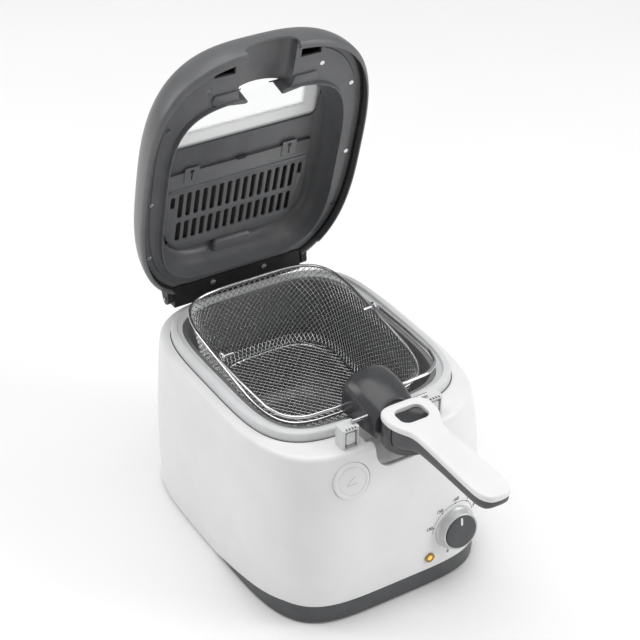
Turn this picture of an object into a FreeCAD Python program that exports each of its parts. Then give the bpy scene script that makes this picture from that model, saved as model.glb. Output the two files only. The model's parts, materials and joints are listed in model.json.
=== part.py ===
# Deep fryer: white housing on a dark base, hinged lid with window and filter,
# wire basket with a forked handle, thermostat dial, lid button and latches.
# Millimetres, +Z up, front towards -Y, floor at z = 0.
import FreeCAD
import Part
import math
import os

V = FreeCAD.Vector

# ---------------------------------------------------------------- dimensions
Y_SHIFT = 98.4555              # moves the model so that its bounding box is centred on the origin
WALL = 3.0                  # housing wall
DECK_Z = 211.0              # top face of the housing
FOOT_H = 3.0                # height of the rubber feet
BODY = [                    # z, half width, front y, rear y, squareness
    (3.0, 135.5, -213.0, 150.0, 4.4),
    (30.0, 137.0, -214.5, 149.5, 4.3),
    (70.0, 138.4, -215.0, 148.3, 4.2),
    (110.0, 138.8, -214.0, 146.5, 4.1),
    (150.0, 138.3, -211.3, 144.3, 3.95),
    (180.0, 137.4, -207.6, 142.5, 3.85),
    (200.0, 136.4, -203.4, 141.0, 3.75),
    (207.5, 135.4, -200.6, 139.8, 3.7),
    (211.0, 132.6, -197.4, 137.0, 3.7),
]
SKIRT_HIGH, SKIRT_LOW = 26.0, 5.8      # housing lower edge: front, and where it meets the rear run
SKIRT_Y0, SKIRT_Y1 = -60.0, -175.0

RING_OUT = (123.4, -167.1, 121.0, 4.14)   # collar round the pot: half width, front, rear, squareness
RING_IN = (108.7, -152.5, 113.5, 4.39)
RING_TOP = 221.2
POT_TOP = (104.6, -148.4, 109.4, 4.35)
POT_BOTTOM_Z = 72.0
POT_T = 1.6

NOTCH_X, NOTCH_Z, CHANNEL_X = 27.6, 183.0, 33.0

HINGE_Y, HINGE_Z = 139.8, 223.1
LINER_SEAM = 0.06                # hairline between the panels of the lid's liner
LINER_MID_Y = -12.0
LINER_SEAMS_DEG = (0, 35, 42, 48, 54, 60, 67, 75, 105, 113, 120, 126, 132, 138, 145, 180, 215, 228, 240, 250, 290, 300, 312, 325)
LINER_COLLAR_SEAMS = (-32.0, -29.0, -22.0, -12.0, 12.0, 22.0, 29.0, 32.0)
MESH_SEAM = 0.06                 # hairline between the panels of the basket sheet
MESH_SEAMS_DEG = (-35, 35, 47, 58, 122, 133, 145, 215, 227, 232.5, 238, 302, 307.5, 313)
HINGE_BARREL_R = 15.2            # fixed barrel round the hinge pin
LID_OPEN = 74.25            # the lid is drawn closed, then opened by this angle
LID_RIM_Z = 212.6
LID = (134.0, -194.5, 139.5, 3.015)
LID_H, LID_H0, LID_R = 58.0, 5.0, 41.0
LID_BULGE_X, LID_BULGE_Y = 1.9, 5.8
LID_T = 2.5
FRAME_Z = 222.3             # underside of the lid's inner frame, lid closed
OPENING = (106.4, -137.0, 113.2, 4.0)
PANEL = (97.0, -128.0, 104.0, 4.0)
PANEL_Z = 250.0
ARCH_X, ARCH_TOP = 30.5, 233.0
COLLAR_X, COLLAR_TOP = 34.5, 246.0

BASKET_TILT = 8.0
BASKET_Y, BASKET_Z = -10.5, 221.2
BASKET_RIM = (98.4, 118.0, 4.7)     # half width, half length, squareness
BASKET_FLOOR = (84.0, 93.0, 4.2)
BASKET_DEPTH = 82.0
RIM_R, FORK_R = 1.8, 2.0
PIVOT_Y, PIVOT_Z, PIVOT_X = -4.0, 229.0, 96.5
FORK_X, FORK_FRONT = 101.0, -144.0

HUB_X, HUB_Y0, HUB_Y1, HUB_BOTTOM, HUB_TOP = 30.0, -137.0, -192.0, 215.8, 261.0
DRUM_Y, DRUM_R, DRUM_BOTTOM = -216.7, 26.6, 216.0
PLATE_TOP, PLATE_T = 255.0, 7.0
TIP_Y = -374.0
GRIP_X = 18.2

DIAL_X, DIAL_Z, DIAL_FACE_Y, DIAL_PITCH = 68.0, 72.0, -213.8, 5.9
BTN_X, BTN_Z, BTN_Y, BTN_R = -58.5, 181.0, -206.6, 20.6
BTN_YAW, BTN_PITCH = -4.0, 11.0
LAMP_X, LAMP_Z = 36.0, 43.5
POST_X, POST_TOP = 51.0, 234.7
OUT = {}


# ------------------------------------------------------------------- helpers
def pts_of(a, yf, yr, n, count=56):
    y0, b = (yf + yr) / 2.0, (yr - yf) / 2.0
    out = []
    for i in range(count):
        t = 2 * math.pi * i / count
        c, s = math.cos(t), math.sin(t)
        r = (abs(c / a) ** n + abs(s / b) ** n) ** (-1.0 / n)
        out.append((r * c, y0 + r * s))
    return out


def outline(a, yf, yr, n, z):
    c = Part.BSplineCurve()
    c.interpolate(Points=[V(x, y, z) for x, y in pts_of(a, yf, yr, n)], PeriodicFlag=True)
    return Part.Wire([c.toShape()])


def loft(sections, ruled=False):
    return Part.makeLoft([outline(*s) for s in sections], True, ruled)


def prism(sec, z0, z1, inset=0.0):
    a, yf, yr, n = sec
    f = Part.Face(outline(a - inset, yf + inset, yr - inset, n, z0))
    return f.extrude(V(0, 0, z1 - z0))


def box(x0, x1, y0, y1, z0, z1):
    return Part.makeBox(x1 - x0, y1 - y0, z1 - z0, V(x0, y0, z0))


def cyl(p, d, r, h):
    return Part.makeCylinder(r, h, V(*p), V(*d))


def rbox(x0, x1, y0, y1, z0, z1, r, axis="z"):
    """Box with the four edges along one axis rounded."""
    b = box(x0, x1, y0, y1, z0, z1)
    k = {"x": 0, "y": 1, "z": 2}[axis]
    es = []
    for e in b.Edges:
        d = e.Vertexes[1].Point - e.Vertexes[0].Point
        if abs(d[k]) > 1e-6:
            es.append(e)
    return b.makeFillet(r, es)


def corners(pts, closed, bend):
    n = len(pts)
    out = []
    for i in range(n):
        if not closed and i in (0, n - 1):
            out.append(None)
            continue
        a, b, c = pts[i - 1], pts[i], pts[(i + 1) % n]
        u, w = a.sub(b), c.sub(b)
        lu, lw = u.Length, w.Length
        u, w = u.multiply(1 / lu), w.multiply(1 / lw)
        ang = math.acos(max(-1, min(1, u.dot(w))))
        turn = math.pi - ang
        t = min(0.45 * min(lu, lw), bend * math.tan(turn / 2))
        r = t / math.tan(turn / 2)
        bis = (u + w)
        bis = bis.multiply(1 / bis.Length)
        mid = b + bis * (r / math.sin(ang / 2) - r)
        out.append((b + u * t, mid, b + w * t))
    return out


def tube(points, r, bend=1e9, closed=False):
    pts = [V(*p) for p in points]
    cs = corners(pts, closed, bend)
    edges, n = [], len(pts)
    if closed:
        for i in range(n):
            p, q = cs[i], cs[(i + 1) % n]
            if p[2].sub(q[0]).Length > 1e-5:
                edges.append(Part.LineSegment(p[2], q[0]).toShape())
            edges.append(Part.Arc(q[0], q[1], q[2]).toShape())
        start, d = cs[0][2], cs[1][0].sub(cs[0][2])
    else:
        prev = pts[0]
        for i in range(1, n - 1):
            edges.append(Part.LineSegment(prev, cs[i][0]).toShape())
            edges.append(Part.Arc(*cs[i]).toShape())
            prev = cs[i][2]
        edges.append(Part.LineSegment(prev, pts[-1]).toShape())
        start, d = pts[0], pts[1].sub(pts[0])
    path = Part.Wire(edges)
    prof = Part.Wire([Part.makeCircle(r, start, d)])
    s = path.makePipeShell([prof], True, False)
    if s.ShapeType != "Solid":
        s = Part.makeSolid(Part.Shell(s.Faces))
    if s.Volume < 0:
        s.reverse()
    return s


def face_xz(points, y):
    return Part.Face(Part.makePolygon([V(x, y, z) for x, z in points + points[:1]]))


def arch(w, z0, zs, top, y0, y1):
    """Prism along Y: straight sides from z0 to zs, then a half ellipse up to top."""
    p = [(-w, z0), (w, z0)]
    for i in range(0, 25):
        t = math.pi * i / 24
        p.append((w * math.cos(t), zs + (top - zs) * math.sin(t)))
    c = Part.BSplineCurve()
    c.interpolate([V(x, y0, z) for x, z in p[2:]])
    wire = Part.Wire([Part.LineSegment(V(-w, y0, zs), V(-w, y0, z0)).toShape(),
                      Part.LineSegment(V(-w, y0, z0), V(w, y0, z0)).toShape(),
                      Part.LineSegment(V(w, y0, z0), V(w, y0, zs)).toShape(), c.toShape()])
    return Part.Face(wire).extrude(V(0, y1 - y0, 0))


def group(shapes):
    return Part.makeCompound(shapes)


def place(shape, base, yaw, pitch):
    """Turns a shape drawn about +Z so that +Z points out of the front, then moves it."""
    n = V(math.sin(math.radians(yaw)) * math.cos(math.radians(pitch)),
          -math.cos(math.radians(yaw)) * math.cos(math.radians(pitch)),
          math.sin(math.radians(pitch)))
    s = shape.copy()
    x = V(math.cos(math.radians(yaw)), math.sin(math.radians(yaw)), 0)
    y = n.cross(x)
    m = FreeCAD.Matrix(x.x, y.x, n.x, base[0], x.y, y.y, n.y, base[1], x.z, y.z, n.z, base[2], 0, 0, 0, 1)
    s.Placement = FreeCAD.Placement(m).multiply(s.Placement)
    return s


def revolve(profile):
    """Solid of revolution about Z from (radius, z) points."""
    w = Part.makePolygon([V(r, 0, z) for r, z in profile + profile[:1]])
    return Part.Face(w).revolve(V(0, 0, 0), V(0, 0, 1), 360)


def add(name, shape):
    OUT[name] = shape


def opened(shape):
    s = shape.copy()
    s.rotate(V(0, HINGE_Y, HINGE_Z), V(1, 0, 0), -LID_OPEN)
    return s


def screw(p, d, head_r, head_h, shank_r, length):
    """Pan head at p, with its shank running along d."""
    dv = V(*d)
    h = Part.makeCylinder(head_r, head_h, V(*p), dv)
    s = Part.makeCylinder(shank_r, length, V(*p) + dv * head_h, dv)
    return h.fuse(s).removeSplitter()


def helix(p, d, r, wire_r, pitch, turns, per=12):
    """Coil of hexagonal wire, drawn as short runs."""
    secs = []
    slope = pitch / (2 * math.pi * r)
    for i in range(int(turns * per) + 1):
        t = 2 * math.pi * i / per
        c = V(r * math.cos(t), r * math.sin(t), pitch * i / per)
        e1 = V(math.cos(t), math.sin(t), 0)
        e2 = V(math.sin(t) * slope, -math.cos(t) * slope, 1.0)
        e2 = e2.multiply(1 / e2.Length)
        q = [c + e1 * (wire_r * math.cos(k * math.pi / 3)) + e2 * (wire_r * math.sin(k * math.pi / 3)) for k in range(6)]
        secs.append(Part.makePolygon(q + q[:1]))
    s = Part.makeLoft(secs, True, True)
    s.Placement = FreeCAD.Placement(V(*p), FreeCAD.Rotation(V(0, 0, 1), V(*d)))
    return s


# ------------------------------------------------------------- housing, base
def body_secs(inset, z_shift=0.0, z_lo=None, top=None):
    out = []
    for z, a, yf, yr, n in BODY:
        if top is not None and z > top - 0.01:
            continue
        out.append((a - inset, yf + inset, yr - inset, n, z + z_shift))
    return out


outer = loft(body_secs(0.0), True)
inner_secs = [(a - WALL, yf + WALL, yr - WALL, n, z) for z, a, yf, yr, n in BODY[:-2]]
inner_secs[0] = inner_secs[0][:4] + (-5.0,)
inner_secs.append((BODY[-2][1] - WALL - 2.0, BODY[-2][2] + WALL + 2.0, BODY[-2][3] - WALL - 2.0, 3.7, DECK_Z - WALL))
cavity = loft(inner_secs, True)
housing = outer.cut(cavity)
# lower edge: high at the front, down to the floor towards the rear
slope = (SKIRT_HIGH - SKIRT_LOW) / (SKIRT_Y0 - SKIRT_Y1)
y_floor = SKIRT_Y0 + (SKIRT_LOW - FOOT_H) / slope
wedge_pts = [(-260.0, -10.0), (-260.0, SKIRT_HIGH), (SKIRT_Y1, SKIRT_HIGH), (y_floor, FOOT_H), (y_floor + 30.0, -10.0)]


def wedge(gap):
    w = Part.makePolygon([V(-200, y, z - gap) for y, z in wedge_pts + wedge_pts[:1]])
    return Part.Face(w).extrude(V(400, 0, 0))


housing = housing.cut(wedge(0.0))
# pot opening in the deck
housing = housing.cut(prism((113.2, -157.0, 118.0, 4.3), 200.0, 230.0))
# channel for the hub, with its own floor and side walls, open to the front
trough = rbox(-CHANNEL_X - WALL, CHANNEL_X + WALL, -230.0, -154.0, NOTCH_Z - 2.5, 209.0, 9.0, "y")
trough = trough.common(loft(body_secs(1.0), True))
housing = housing.fuse(trough)
chan = rbox(-CHANNEL_X, CHANNEL_X, -192.0, -156.5, NOTCH_Z, 250.0, 8.0, "y")
notch = rbox(-NOTCH_X, NOTCH_X, -240.0, -190.0, NOTCH_Z, 250.0, 8.0, "y")
housing = housing.cut(chan).cut(notch)
# dial seat, shaft hole, lamp hole, lid button bore
pad = place(cyl((0, 0, -14.0), (0, 0, 1), 27.0, 14.0), (DIAL_X, DIAL_FACE_Y, DIAL_Z), 0, DIAL_PITCH)
pad = pad.cut(cavity)
housing = housing.fuse(pad)
housing = housing.cut(place(cyl((0, 0, 0), (0, 0, 1), 27.5, 20.0), (DIAL_X, DIAL_FACE_Y, DIAL_Z), 0, DIAL_PITCH))
housing = housing.cut(place(cyl((0, 0, -40.0), (0, 0, 1), 3.3, 60.0), (DIAL_X, DIAL_FACE_Y, DIAL_Z), 0, DIAL_PITCH))
housing = housing.cut(cyl((LAMP_X, -240.0, LAMP_Z), (0, 1, 0), 4.2, 60.0))
housing = housing.cut(place(cyl((0, 0, -30.0), (0, 0, 1), BTN_R + 0.35, 60.0), (BTN_X, BTN_Y, BTN_Z), BTN_YAW, BTN_PITCH))
# slots for the latch bolts
for sx in (-1, 1):
    x0, x1 = sorted((sx * 44.6, sx * 57.4))
    housing = housing.cut(box(x0, x1, -191.3, -181.5, 200.0, 230.0))
# cord gland hole
GLAND = (52.0, 148.8, 34.0)
housing = housing.cut(cyl((GLAND[0], 120.0, GLAND[2]), (0, 1, 0), 6.1, 60.0))
add("outer_housing", housing)

tray_in = prism((BODY[0][1] - 3.4, BODY[0][2] + 3.4, BODY[0][3] - 3.4, 4.4), FOOT_H, 5.6)
band = loft([(a - 1.2, yf + 1.2, yr - 1.2, n, z) for z, a, yf, yr, n in [BODY[0], BODY[1], (44.0, 137.6, -214.9, 149.2, 4.27)]])
hollow = loft([(a - 4.2, yf + 4.2, yr - 4.2, n, z) for z, a, yf, yr, n in [(5.6, 135.6, -213.1, 150.0, 4.4), BODY[1], (50.0, 137.8, -215.0, 149.0, 4.25)]])
band = band.cut(hollow).common(wedge(0.4))
tray = tray_in.common(prism((400, -400, 400, 2.0), 0, 60)).fuse(band).removeSplitter()
add("base_tray", tray)

FEET = [(-98.0, -160.0), (98.0, -160.0), (-98.0, 100.0), (98.0, 100.0)]
add("rubber_feet", group([revolve([(0, 0), (8.0, 0), (9.0, 1.0), (9.0, FOOT_H), (0, FOOT_H)]).translated(V(x, y, 0)) for x, y in FEET]))
BS = [(-112.0, -120.0), (112.0, -120.0), (-112.0, 70.0), (112.0, 70.0)]
tray = OUT["base_tray"]
for x, y in BS:
    tray = tray.cut(cyl((x, y, 0), (0, 0, 1), 1.9, 12.0)).cut(cyl((x, y, 0), (0, 0, 1), 3.4, 4.2))
OUT["base_tray"] = tray
add("base_screws", group([screw((x, y, 3.1), (0, 0, 1), 3.2, 1.1, 1.8, 14.0) for x, y in BS]))
add("cord_gland", cyl((GLAND[0], 141.0, GLAND[2]), (0, 1, 0), 6.0, 12.0)
    .fuse(cyl((GLAND[0], 149.9, GLAND[2]), (0, 1, 0), 9.0, 4.5)).fuse(cyl((GLAND[0], 140.0, GLAND[2]), (0, 1, 0), 9.0, 4.8))
    .cut(cyl((GLAND[0], 130.0, GLAND[2]), (0, 1, 0), 3.6, 40.0)))

# --------------------------------------------------------- collar, pot, heat
ring = prism(RING_OUT, DECK_Z, RING_TOP)
ring = ring.cut(prism((112.4, -156.2, 117.2, 4.3), 200.0, 215.5)).cut(prism(RING_IN, 200.0, 240.0))
ring = ring.cut(box(-CHANNEL_X, CHANNEL_X, -180.0, -140.0, 200.0, 240.0))
add("rim_ring", ring)


def pot_secs(t):
    a, yf, yr, n = POT_TOP
    z0 = POT_BOTTOM_Z - t
    return [(a - 24 + t, yf + 26 - t, yr - 26 + t, 3.6, z0), (a - 13 + t, yf + 14 - t, yr - 14 + t, 3.8, z0 + 5.0),
            (a - 8.5 + t, yf + 9.0 - t, yr - 9.0 + t, 4.0, z0 + 18.0), (a - 5 + t, yf + 5.0 - t, yr - 5.0 + t, 4.2, 150.0),
            (a + t, yf - t, yr + t, n, 215.2 + (0 if t else 3.0))]


pot = loft(pot_secs(POT_T), True).fuse(prism((111.6, -155.4, 116.4, 4.3), 213.7, 215.2)).cut(loft(pot_secs(0.0), True))
pot = pot.cut(box(-CHANNEL_X - 0.5, CHANNEL_X + 0.5, -170.0, -150.3, 205.0, 230.0))
add("fry_pot", pot)

EZ = 62.0
add("heating_element", tube([(-16, 104, EZ), (-16, 62, EZ), (-62, 62, EZ), (-62, -98, EZ), (62, -98, EZ), (62, 62, EZ), (16, 62, EZ), (16, 104, EZ)], 4.0, 26.0))
shield = prism((112.0, -150.0, 112.0, 4.2), 44.0, 56.0).cut(prism((111.0, -149.0, 111.0, 4.2), 45.0, 60.0))
add("heat_shield", shield)
add("element_clips", group([box(-70, -54, y - 5, y + 5, 57.0, 57.9).fuse(box(-70, -67.4, y - 5, y + 5, 45.2, 57.9)) for y in (-60, 30)]
                           + [box(54, 70, y - 5, y + 5, 57.0, 57.9).fuse(box(67.4, 70, y - 5, y + 5, 45.2, 57.9)) for y in (-60, 30)]))
add("thermal_fuse", cyl((40.0, 86.0, 49.0), (1, 0, 0), 3.0, 24.0))
add("terminal_block", rbox(-30.0, 30.0, 116.0, 128.0, 5.8, 40.0, 1.5, "x"))

# thermostat: body behind the wall, shaft through it along the dial's axis
tb = group([])
tbody = place(rbox(-18.0, 18.0, -14.0, 14.0, -42.0, -18.0, 3.0), (DIAL_X, DIAL_FACE_Y, DIAL_Z), 0, DIAL_PITCH)
tbody = tbody.cut(place(cyl((0, 0, -50.0), (0, 0, 1), 3.05, 60.0), (DIAL_X, DIAL_FACE_Y, DIAL_Z), 0, DIAL_PITCH))
add("thermostat_body", tbody)
add("thermostat_bulb", cyl((-20.0, -20.0, 66.2), (1, 0, 0), 3.0, 52.0))
add("capillary_tube", tube([(32.4, -20.0, 66.2), (42.0, -20.0, 66.2), (50.0, -22.0, 54.0), (76.0, -40.0, 53.0), (100.0, -60.0, 60.5), (120.0, -82.0, 60.5), (122.0, -130.0, 50.0), (92.0, -164.0, 50.0), (72.0, -168.0, 58.0)], 0.9, 20.0))
add("lead_wires", group([
    tube([(-16.0, 104.4, 62.0), (-16.0, 112.0, 62.0), (-20.0, 122.0, 56.0), (-20.0, 122.0, 40.4)], 1.3, 6.0),
    tube([(16.0, 104.4, 62.0), (16.0, 112.0, 62.0), (20.0, 122.0, 56.0), (20.0, 122.0, 40.4)], 1.3, 6.0),
    tube([(52.0, 139.6, 34.0), (52.0, 130.0, 34.0), (44.0, 122.0, 32.0), (30.3, 122.0, 32.0)], 2.2, 6.0),
]))

# pilot lamp: ring in the wall, lens in the ring, bulb behind
LY = -215.3
add("pilot_lamp_bezel", cyl((LAMP_X, LY - 1.2, LAMP_Z), (0, 1, 0), 5.6, 1.6).fuse(cyl((LAMP_X, LY, LAMP_Z), (0, 1, 0), 4.1, 9.0))
    .cut(cyl((LAMP_X, LY - 5.0, LAMP_Z), (0, 1, 0), 3.0, 30.0)))
lens = cyl((LAMP_X, LY - 0.6, LAMP_Z), (0, 1, 0), 2.95, 6.0).fuse(
    Part.makeSphere(4.2, V(LAMP_X, LY + 2.4, LAMP_Z)).common(cyl((LAMP_X, LY - 4.0, LAMP_Z), (0, 1, 0), 2.95, 6.0)))
add("pilot_lamp_lens", lens)
add("pilot_lamp", cyl((LAMP_X, LY + 5.8, LAMP_Z), (0, 1, 0), 2.2, 9.0).fuse(cyl((LAMP_X, LY + 14.8, LAMP_Z), (0, 1, 0), 4.0, 6.0)))

# --------------------------------------------------------- dial on its shaft
DB = (DIAL_X, DIAL_FACE_Y, DIAL_Z)
add("thermostat_shaft", place(cyl((0, 0, -40.0), (0, 0, 1), 3.0, 51.0), DB, 0, DIAL_PITCH))
skirt = revolve([(3.0, 0.4), (24.6, 0.4), (25.0, 0.9), (24.6, 2.4), (22.6, 3.4), (22.0, 11.6), (21.2, 12.6), (19.6, 12.6), (19.6, 8.0), (3.0, 8.0)])
add("dial_skirt", place(skirt, DB, 0, DIAL_PITCH))
cap = revolve([(0, 11.0), (3.0, 11.0), (3.0, 8.0), (19.4, 8.0), (19.4, 13.2), (18.6, 14.0), (0, 14.4)])
ptr = rbox(-1.2, 1.2, 9.5, 18.6, 12.6, 14.8, 1.1)
cap = cap.cut(ptr)
add("dial_cap", place(cap, DB, 0, DIAL_PITCH))
add("dial_pointer", place(ptr, DB, 0, DIAL_PITCH))

# ----------------------------------------------- lid button, latches, springs
BB = (BTN_X, BTN_Y, BTN_Z)
btn = revolve([(0, -6.0), (BTN_R, -6.0), (BTN_R, -1.2), (BTN_R - 0.8, -0.2), (BTN_R - 5.0, -0.6), (0, -1.6)])
btn = btn.fuse(cyl((0, 0, -14.0), (0, 0, 1), 6.0, 9.0))
add("lid_release_button", place(btn, BB, BTN_YAW, BTN_PITCH))
add("button_spring", place(helix((0, 0, -12.6), (0, 0, 1), 8.6, 0.5, 1.9, 3), BB, BTN_YAW, BTN_PITCH))
posts, bolts = [], []
for sx in (-1, 1):
    x = sx * POST_X
    p = rbox(x - 10, x + 10, -191.8, -175.6, DECK_Z, POST_TOP, 2.2, "z")
    p = p.cut(box(x - 7.2, x + 7.2, -200.0, -181.5, DECK_Z - 1, POST_TOP - 2.6))
    posts.append(p)
    b = rbox(x - 6.6, x + 6.6, -191.0, -186.4, 214.3, POST_TOP - 3.2, 1.0, "y")
    bolts.append(b)
add("latch_posts", group(posts))
add("latch_bolts", group(bolts))
bar = box(-56.0, 56.0, -190.6, -187.0, 168.0, 174.0)
for sx in (-1, 1):
    bar = bar.fuse(box(sx * 51 - 5, sx * 51 + 5, -190.6, -187.0, 168.0, 214.3))
add("latch_slide_bar", bar.removeSplitter())
add("latch_springs", group([helix((sx * 51.0, -186.1, 190.0), (0, 1, 0), 3.6, 0.6, 2.2, 3) for sx in (-1, 1)]))

# ----------------------------------------------------------------- lid hinge
barrel = cyl((-83.0, HINGE_Y, HINGE_Z), (1, 0, 0), HINGE_BARREL_R, 166.0).common(box(-90.0, 90.0, 134.6, 170.0, DECK_Z, 260.0))
strip = box(-83.0, 83.0, 134.6, 138.6, DECK_Z, 235.0).fuse(barrel).removeSplitter()
strip = strip.cut(cyl((-84.0, HINGE_Y, HINGE_Z), (1, 0, 0), 2.02, 168.0))
strip = strip.cut(cyl((-15.0, HINGE_Y, HINGE_Z), (1, 0, 0), 4.0, 30.0))
HS = [(-33.5, 230.6), (33.5, 230.6)]
for x, z in HS:
    strip = strip.cut(cyl((x, 130.0, z), (0, 1, 0), 1.9, 20.0))
add("hinge_base", strip)
add("hinge_screws", group([screw((x, 133.0, z), (0, 1, 0), 3.4, 1.6, 1.85, 6.5) for x, z in HS]))
add("hinge_pin", cyl((-93.0, HINGE_Y, HINGE_Z), (1, 0, 0), 2.0, 186.0))
add("hinge_spring", helix((-12.6, HINGE_Y, HINGE_Z), (1, 0, 0), 2.9, 0.55, 3.1, 8))

# ------------------------------------------------------ lid, drawn closed
def lid_secs(inset, drop, bottom=None):
    a, yf, yr, n = LID
    out = []
    steps = [(0.0, 0.0, 0.0)]
    for q in (0.5, 1.0):
        s = math.sin(q * math.pi / 2)
        steps.append((LID_H0 * q, LID_BULGE_X * s, LID_BULGE_Y * s))
    for k in (12, 26, 40, 54, 68, 80, 90):
        t = math.radians(k)
        i = LID_R * (1 - math.cos(t))
        steps.append((LID_H0 + (LID_H - LID_H0) * math.sin(t), LID_BULGE_X - i, LID_BULGE_Y - i))
    for dz, ox, oy in steps:
        out.append((a + ox - inset, yf - oy + inset, yr + oy - inset, n, LID_RIM_Z + dz - (drop if dz > 30 else 0.0)))
    if bottom is not None:
        out[0] = out[0][:4] + (bottom,)
    return out


shell = loft(lid_secs(0.0, 0.0)).cut(loft(lid_secs(LID_T, LID_T, LID_RIM_Z - 4.0)))
front_arch = arch(ARCH_X, 200.0, 221.0, ARCH_TOP, -230.0, -150.0)
shell = shell.cut(front_arch)
WIN = (-100.0, 100.0, -138.0, -56.0)
shell = shell.cut(rbox(WIN[0], WIN[1], WIN[2], WIN[3], 262.0, 280.0, 12.0))
for i in range(9):
    x = (i - 4) * 14.0
    shell = shell.cut(rbox(x - 2.2, x + 2.2, 22.0, 62.0, 262.0, 280.0, 2.0))
hinge_room = cyl((-84.0, HINGE_Y, HINGE_Z), (1, 0, 0), 16.5, 168.0).fuse(box(-84.0, 84.0, 124.0, 170.0, 200.0, HINGE_Z)).fuse(box(-84.0, 84.0, HINGE_Y, 170.0, 200.0, 239.6)).fuse(box(-104.0, 104.0, 110.0, 175.0, 195.0, 217.6))
shell = shell.cut(hinge_room)
add("lid_shell", opened(shell))

# inner liner: frame, cavity walls, panel and the collar round the handle's hub
a0, f0, r0, n0 = LID
frame = prism((a0 + LID_BULGE_X - LID_T - 1.0, f0 - LID_BULGE_Y + LID_T + 1.0, r0 + LID_BULGE_Y - LID_T - 1.0, n0), FRAME_Z, FRAME_Z + 3.0)


def cav_secs(t, z0, z1):
    o, p = OPENING, PANEL
    return [(o[0] + t, o[1] - t, o[2] + t, o[3], z0), (o[0] - 1.5 + t, o[1] + 1.5 - t, o[2] - 1.5 + t, o[3], FRAME_Z + 9.0),
            (p[0] + 1.2 + t, p[1] - 1.2 - t, p[2] + 1.2 + t, p[3], PANEL_Z - 6.0), (p[0] - 3.0 + t, p[1] + 3.0 - t, p[2] - 3.0 + t, p[3], z1)]


liner = frame.fuse(loft(cav_secs(2.2, FRAME_Z, PANEL_Z + 2.4)))
collar_out = arch(COLLAR_X, FRAME_Z, 228.0, COLLAR_TOP, -199.0, -124.0).common(loft(lid_secs(LID_T + 0.4, LID_T + 0.4)))
liner = liner.fuse(collar_out)
liner = liner.cut(loft(cav_secs(0.0, FRAME_Z - 5.0, PANEL_Z)))
collar_in = arch(COLLAR_X - 2.2, 200.0, 228.0, COLLAR_TOP - 2.2, -230.0, -100.0)
liner = liner.cut(collar_in)
liner = liner.cut(rbox(WIN[0] + 3, WIN[1] - 3, WIN[2] + 22.0, WIN[3] - 2, PANEL_Z - 2.0, PANEL_Z + 8.0, 12.0).common(prism(PANEL, 200.0, 300.0, 4.0)))
liner = liner.cut(box(-84.0, 84.0, 4.0, 80.0, PANEL_Z - 2.0, PANEL_Z + 8.0))
liner = liner.cut(hinge_room)
# pockets that take the latch posts when the lid is down
for sx in (-1, 1):
    x0, x1 = sorted((sx * 38.8, sx * 63.4))
    liner = liner.cut(box(x0, x1, -194.6, -172.6, 215.0, 238.0))
LS = [(67.5, -157.0), (110.7, -118.2), (122.0, -16.6), (118.1, 63.8)]
for x, y in [(s * x, y) for x, y in LS for s in (-1, 1)]:
    liner = liner.cut(cyl((x, y, 215.0), (0, 0, 1), 1.6, 20.0)).cut(cyl((x, y, 215.0), (0, 0, 1), 2.9, FRAME_Z + 1.4 - 215.0))
# the liner is laid out as panels with hairline seams: frame, walls and top panel, then round the cavity
panels = liner
for z in (FRAME_Z + 3.0, PANEL_Z - 0.3):
    panels = panels.cut(box(-150.0, 150.0, -220.0, 160.0, z, z + LINER_SEAM))
for ang in LINER_SEAMS_DEG:
    b = Part.makeBox(140.0, LINER_SEAM, PANEL_Z - 0.3 - 215.0, V(60.0, -LINER_SEAM / 2, 215.0))
    b.rotate(V(0, 0, 0), V(0, 0, 1), ang)
    b.translate(V(0, LINER_MID_Y, 0))
    panels = panels.cut(b)
for x in LINER_COLLAR_SEAMS:
    panels = panels.cut(box(x, x + LINER_SEAM, -215.0, -118.0, FRAME_Z + 3.0, PANEL_Z - 0.3))
print("liner panels", len(panels.Solids), sorted(round(q.Volume, 1) for q in panels.Solids)[:8])
add("lid_inner_liner", opened(group(panels.Solids)))
add("lid_screws", opened(group([screw((s * x, y, FRAME_Z + 0.1), (0, 0, 1), 2.7, 1.3, 1.55, 8.0) for x, y in LS for s in (-1, 1)])))
seal = prism((OPENING[0] + 1.6, OPENING[1] - 1.6, OPENING[2] + 0.2, OPENING[3]), 216.8, FRAME_Z).cut(
    prism((OPENING[0] - 0.2, OPENING[1] + 0.2, OPENING[2] - 1.6, OPENING[3]), 210.0, 230.0))
seal = seal.cut(box(-COLLAR_X - 4.0, COLLAR_X + 4.0, -160.0, -120.0, 200.0, 240.0))
add("lid_seal", opened(seal))
add("lid_window", opened(rbox(-95.0, 95.0, -118.6, -50.0, PANEL_Z + 2.7, PANEL_Z + 5.7, 8.0).common(prism(PANEL, 200.0, 300.0, 0.5))))
bz = rbox(WIN[0] + 0.4, WIN[1] - 0.4, WIN[2] + 0.4, WIN[3] - 0.4, 257.0, 271.4, 11.6)
bz = bz.cut(rbox(WIN[0] + 3.4, WIN[1] - 3.4, WIN[2] + 3.4, WIN[3] - 3.4, 240.0, 290.0, 8.6))
add("window_bezel", opened(bz))

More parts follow.
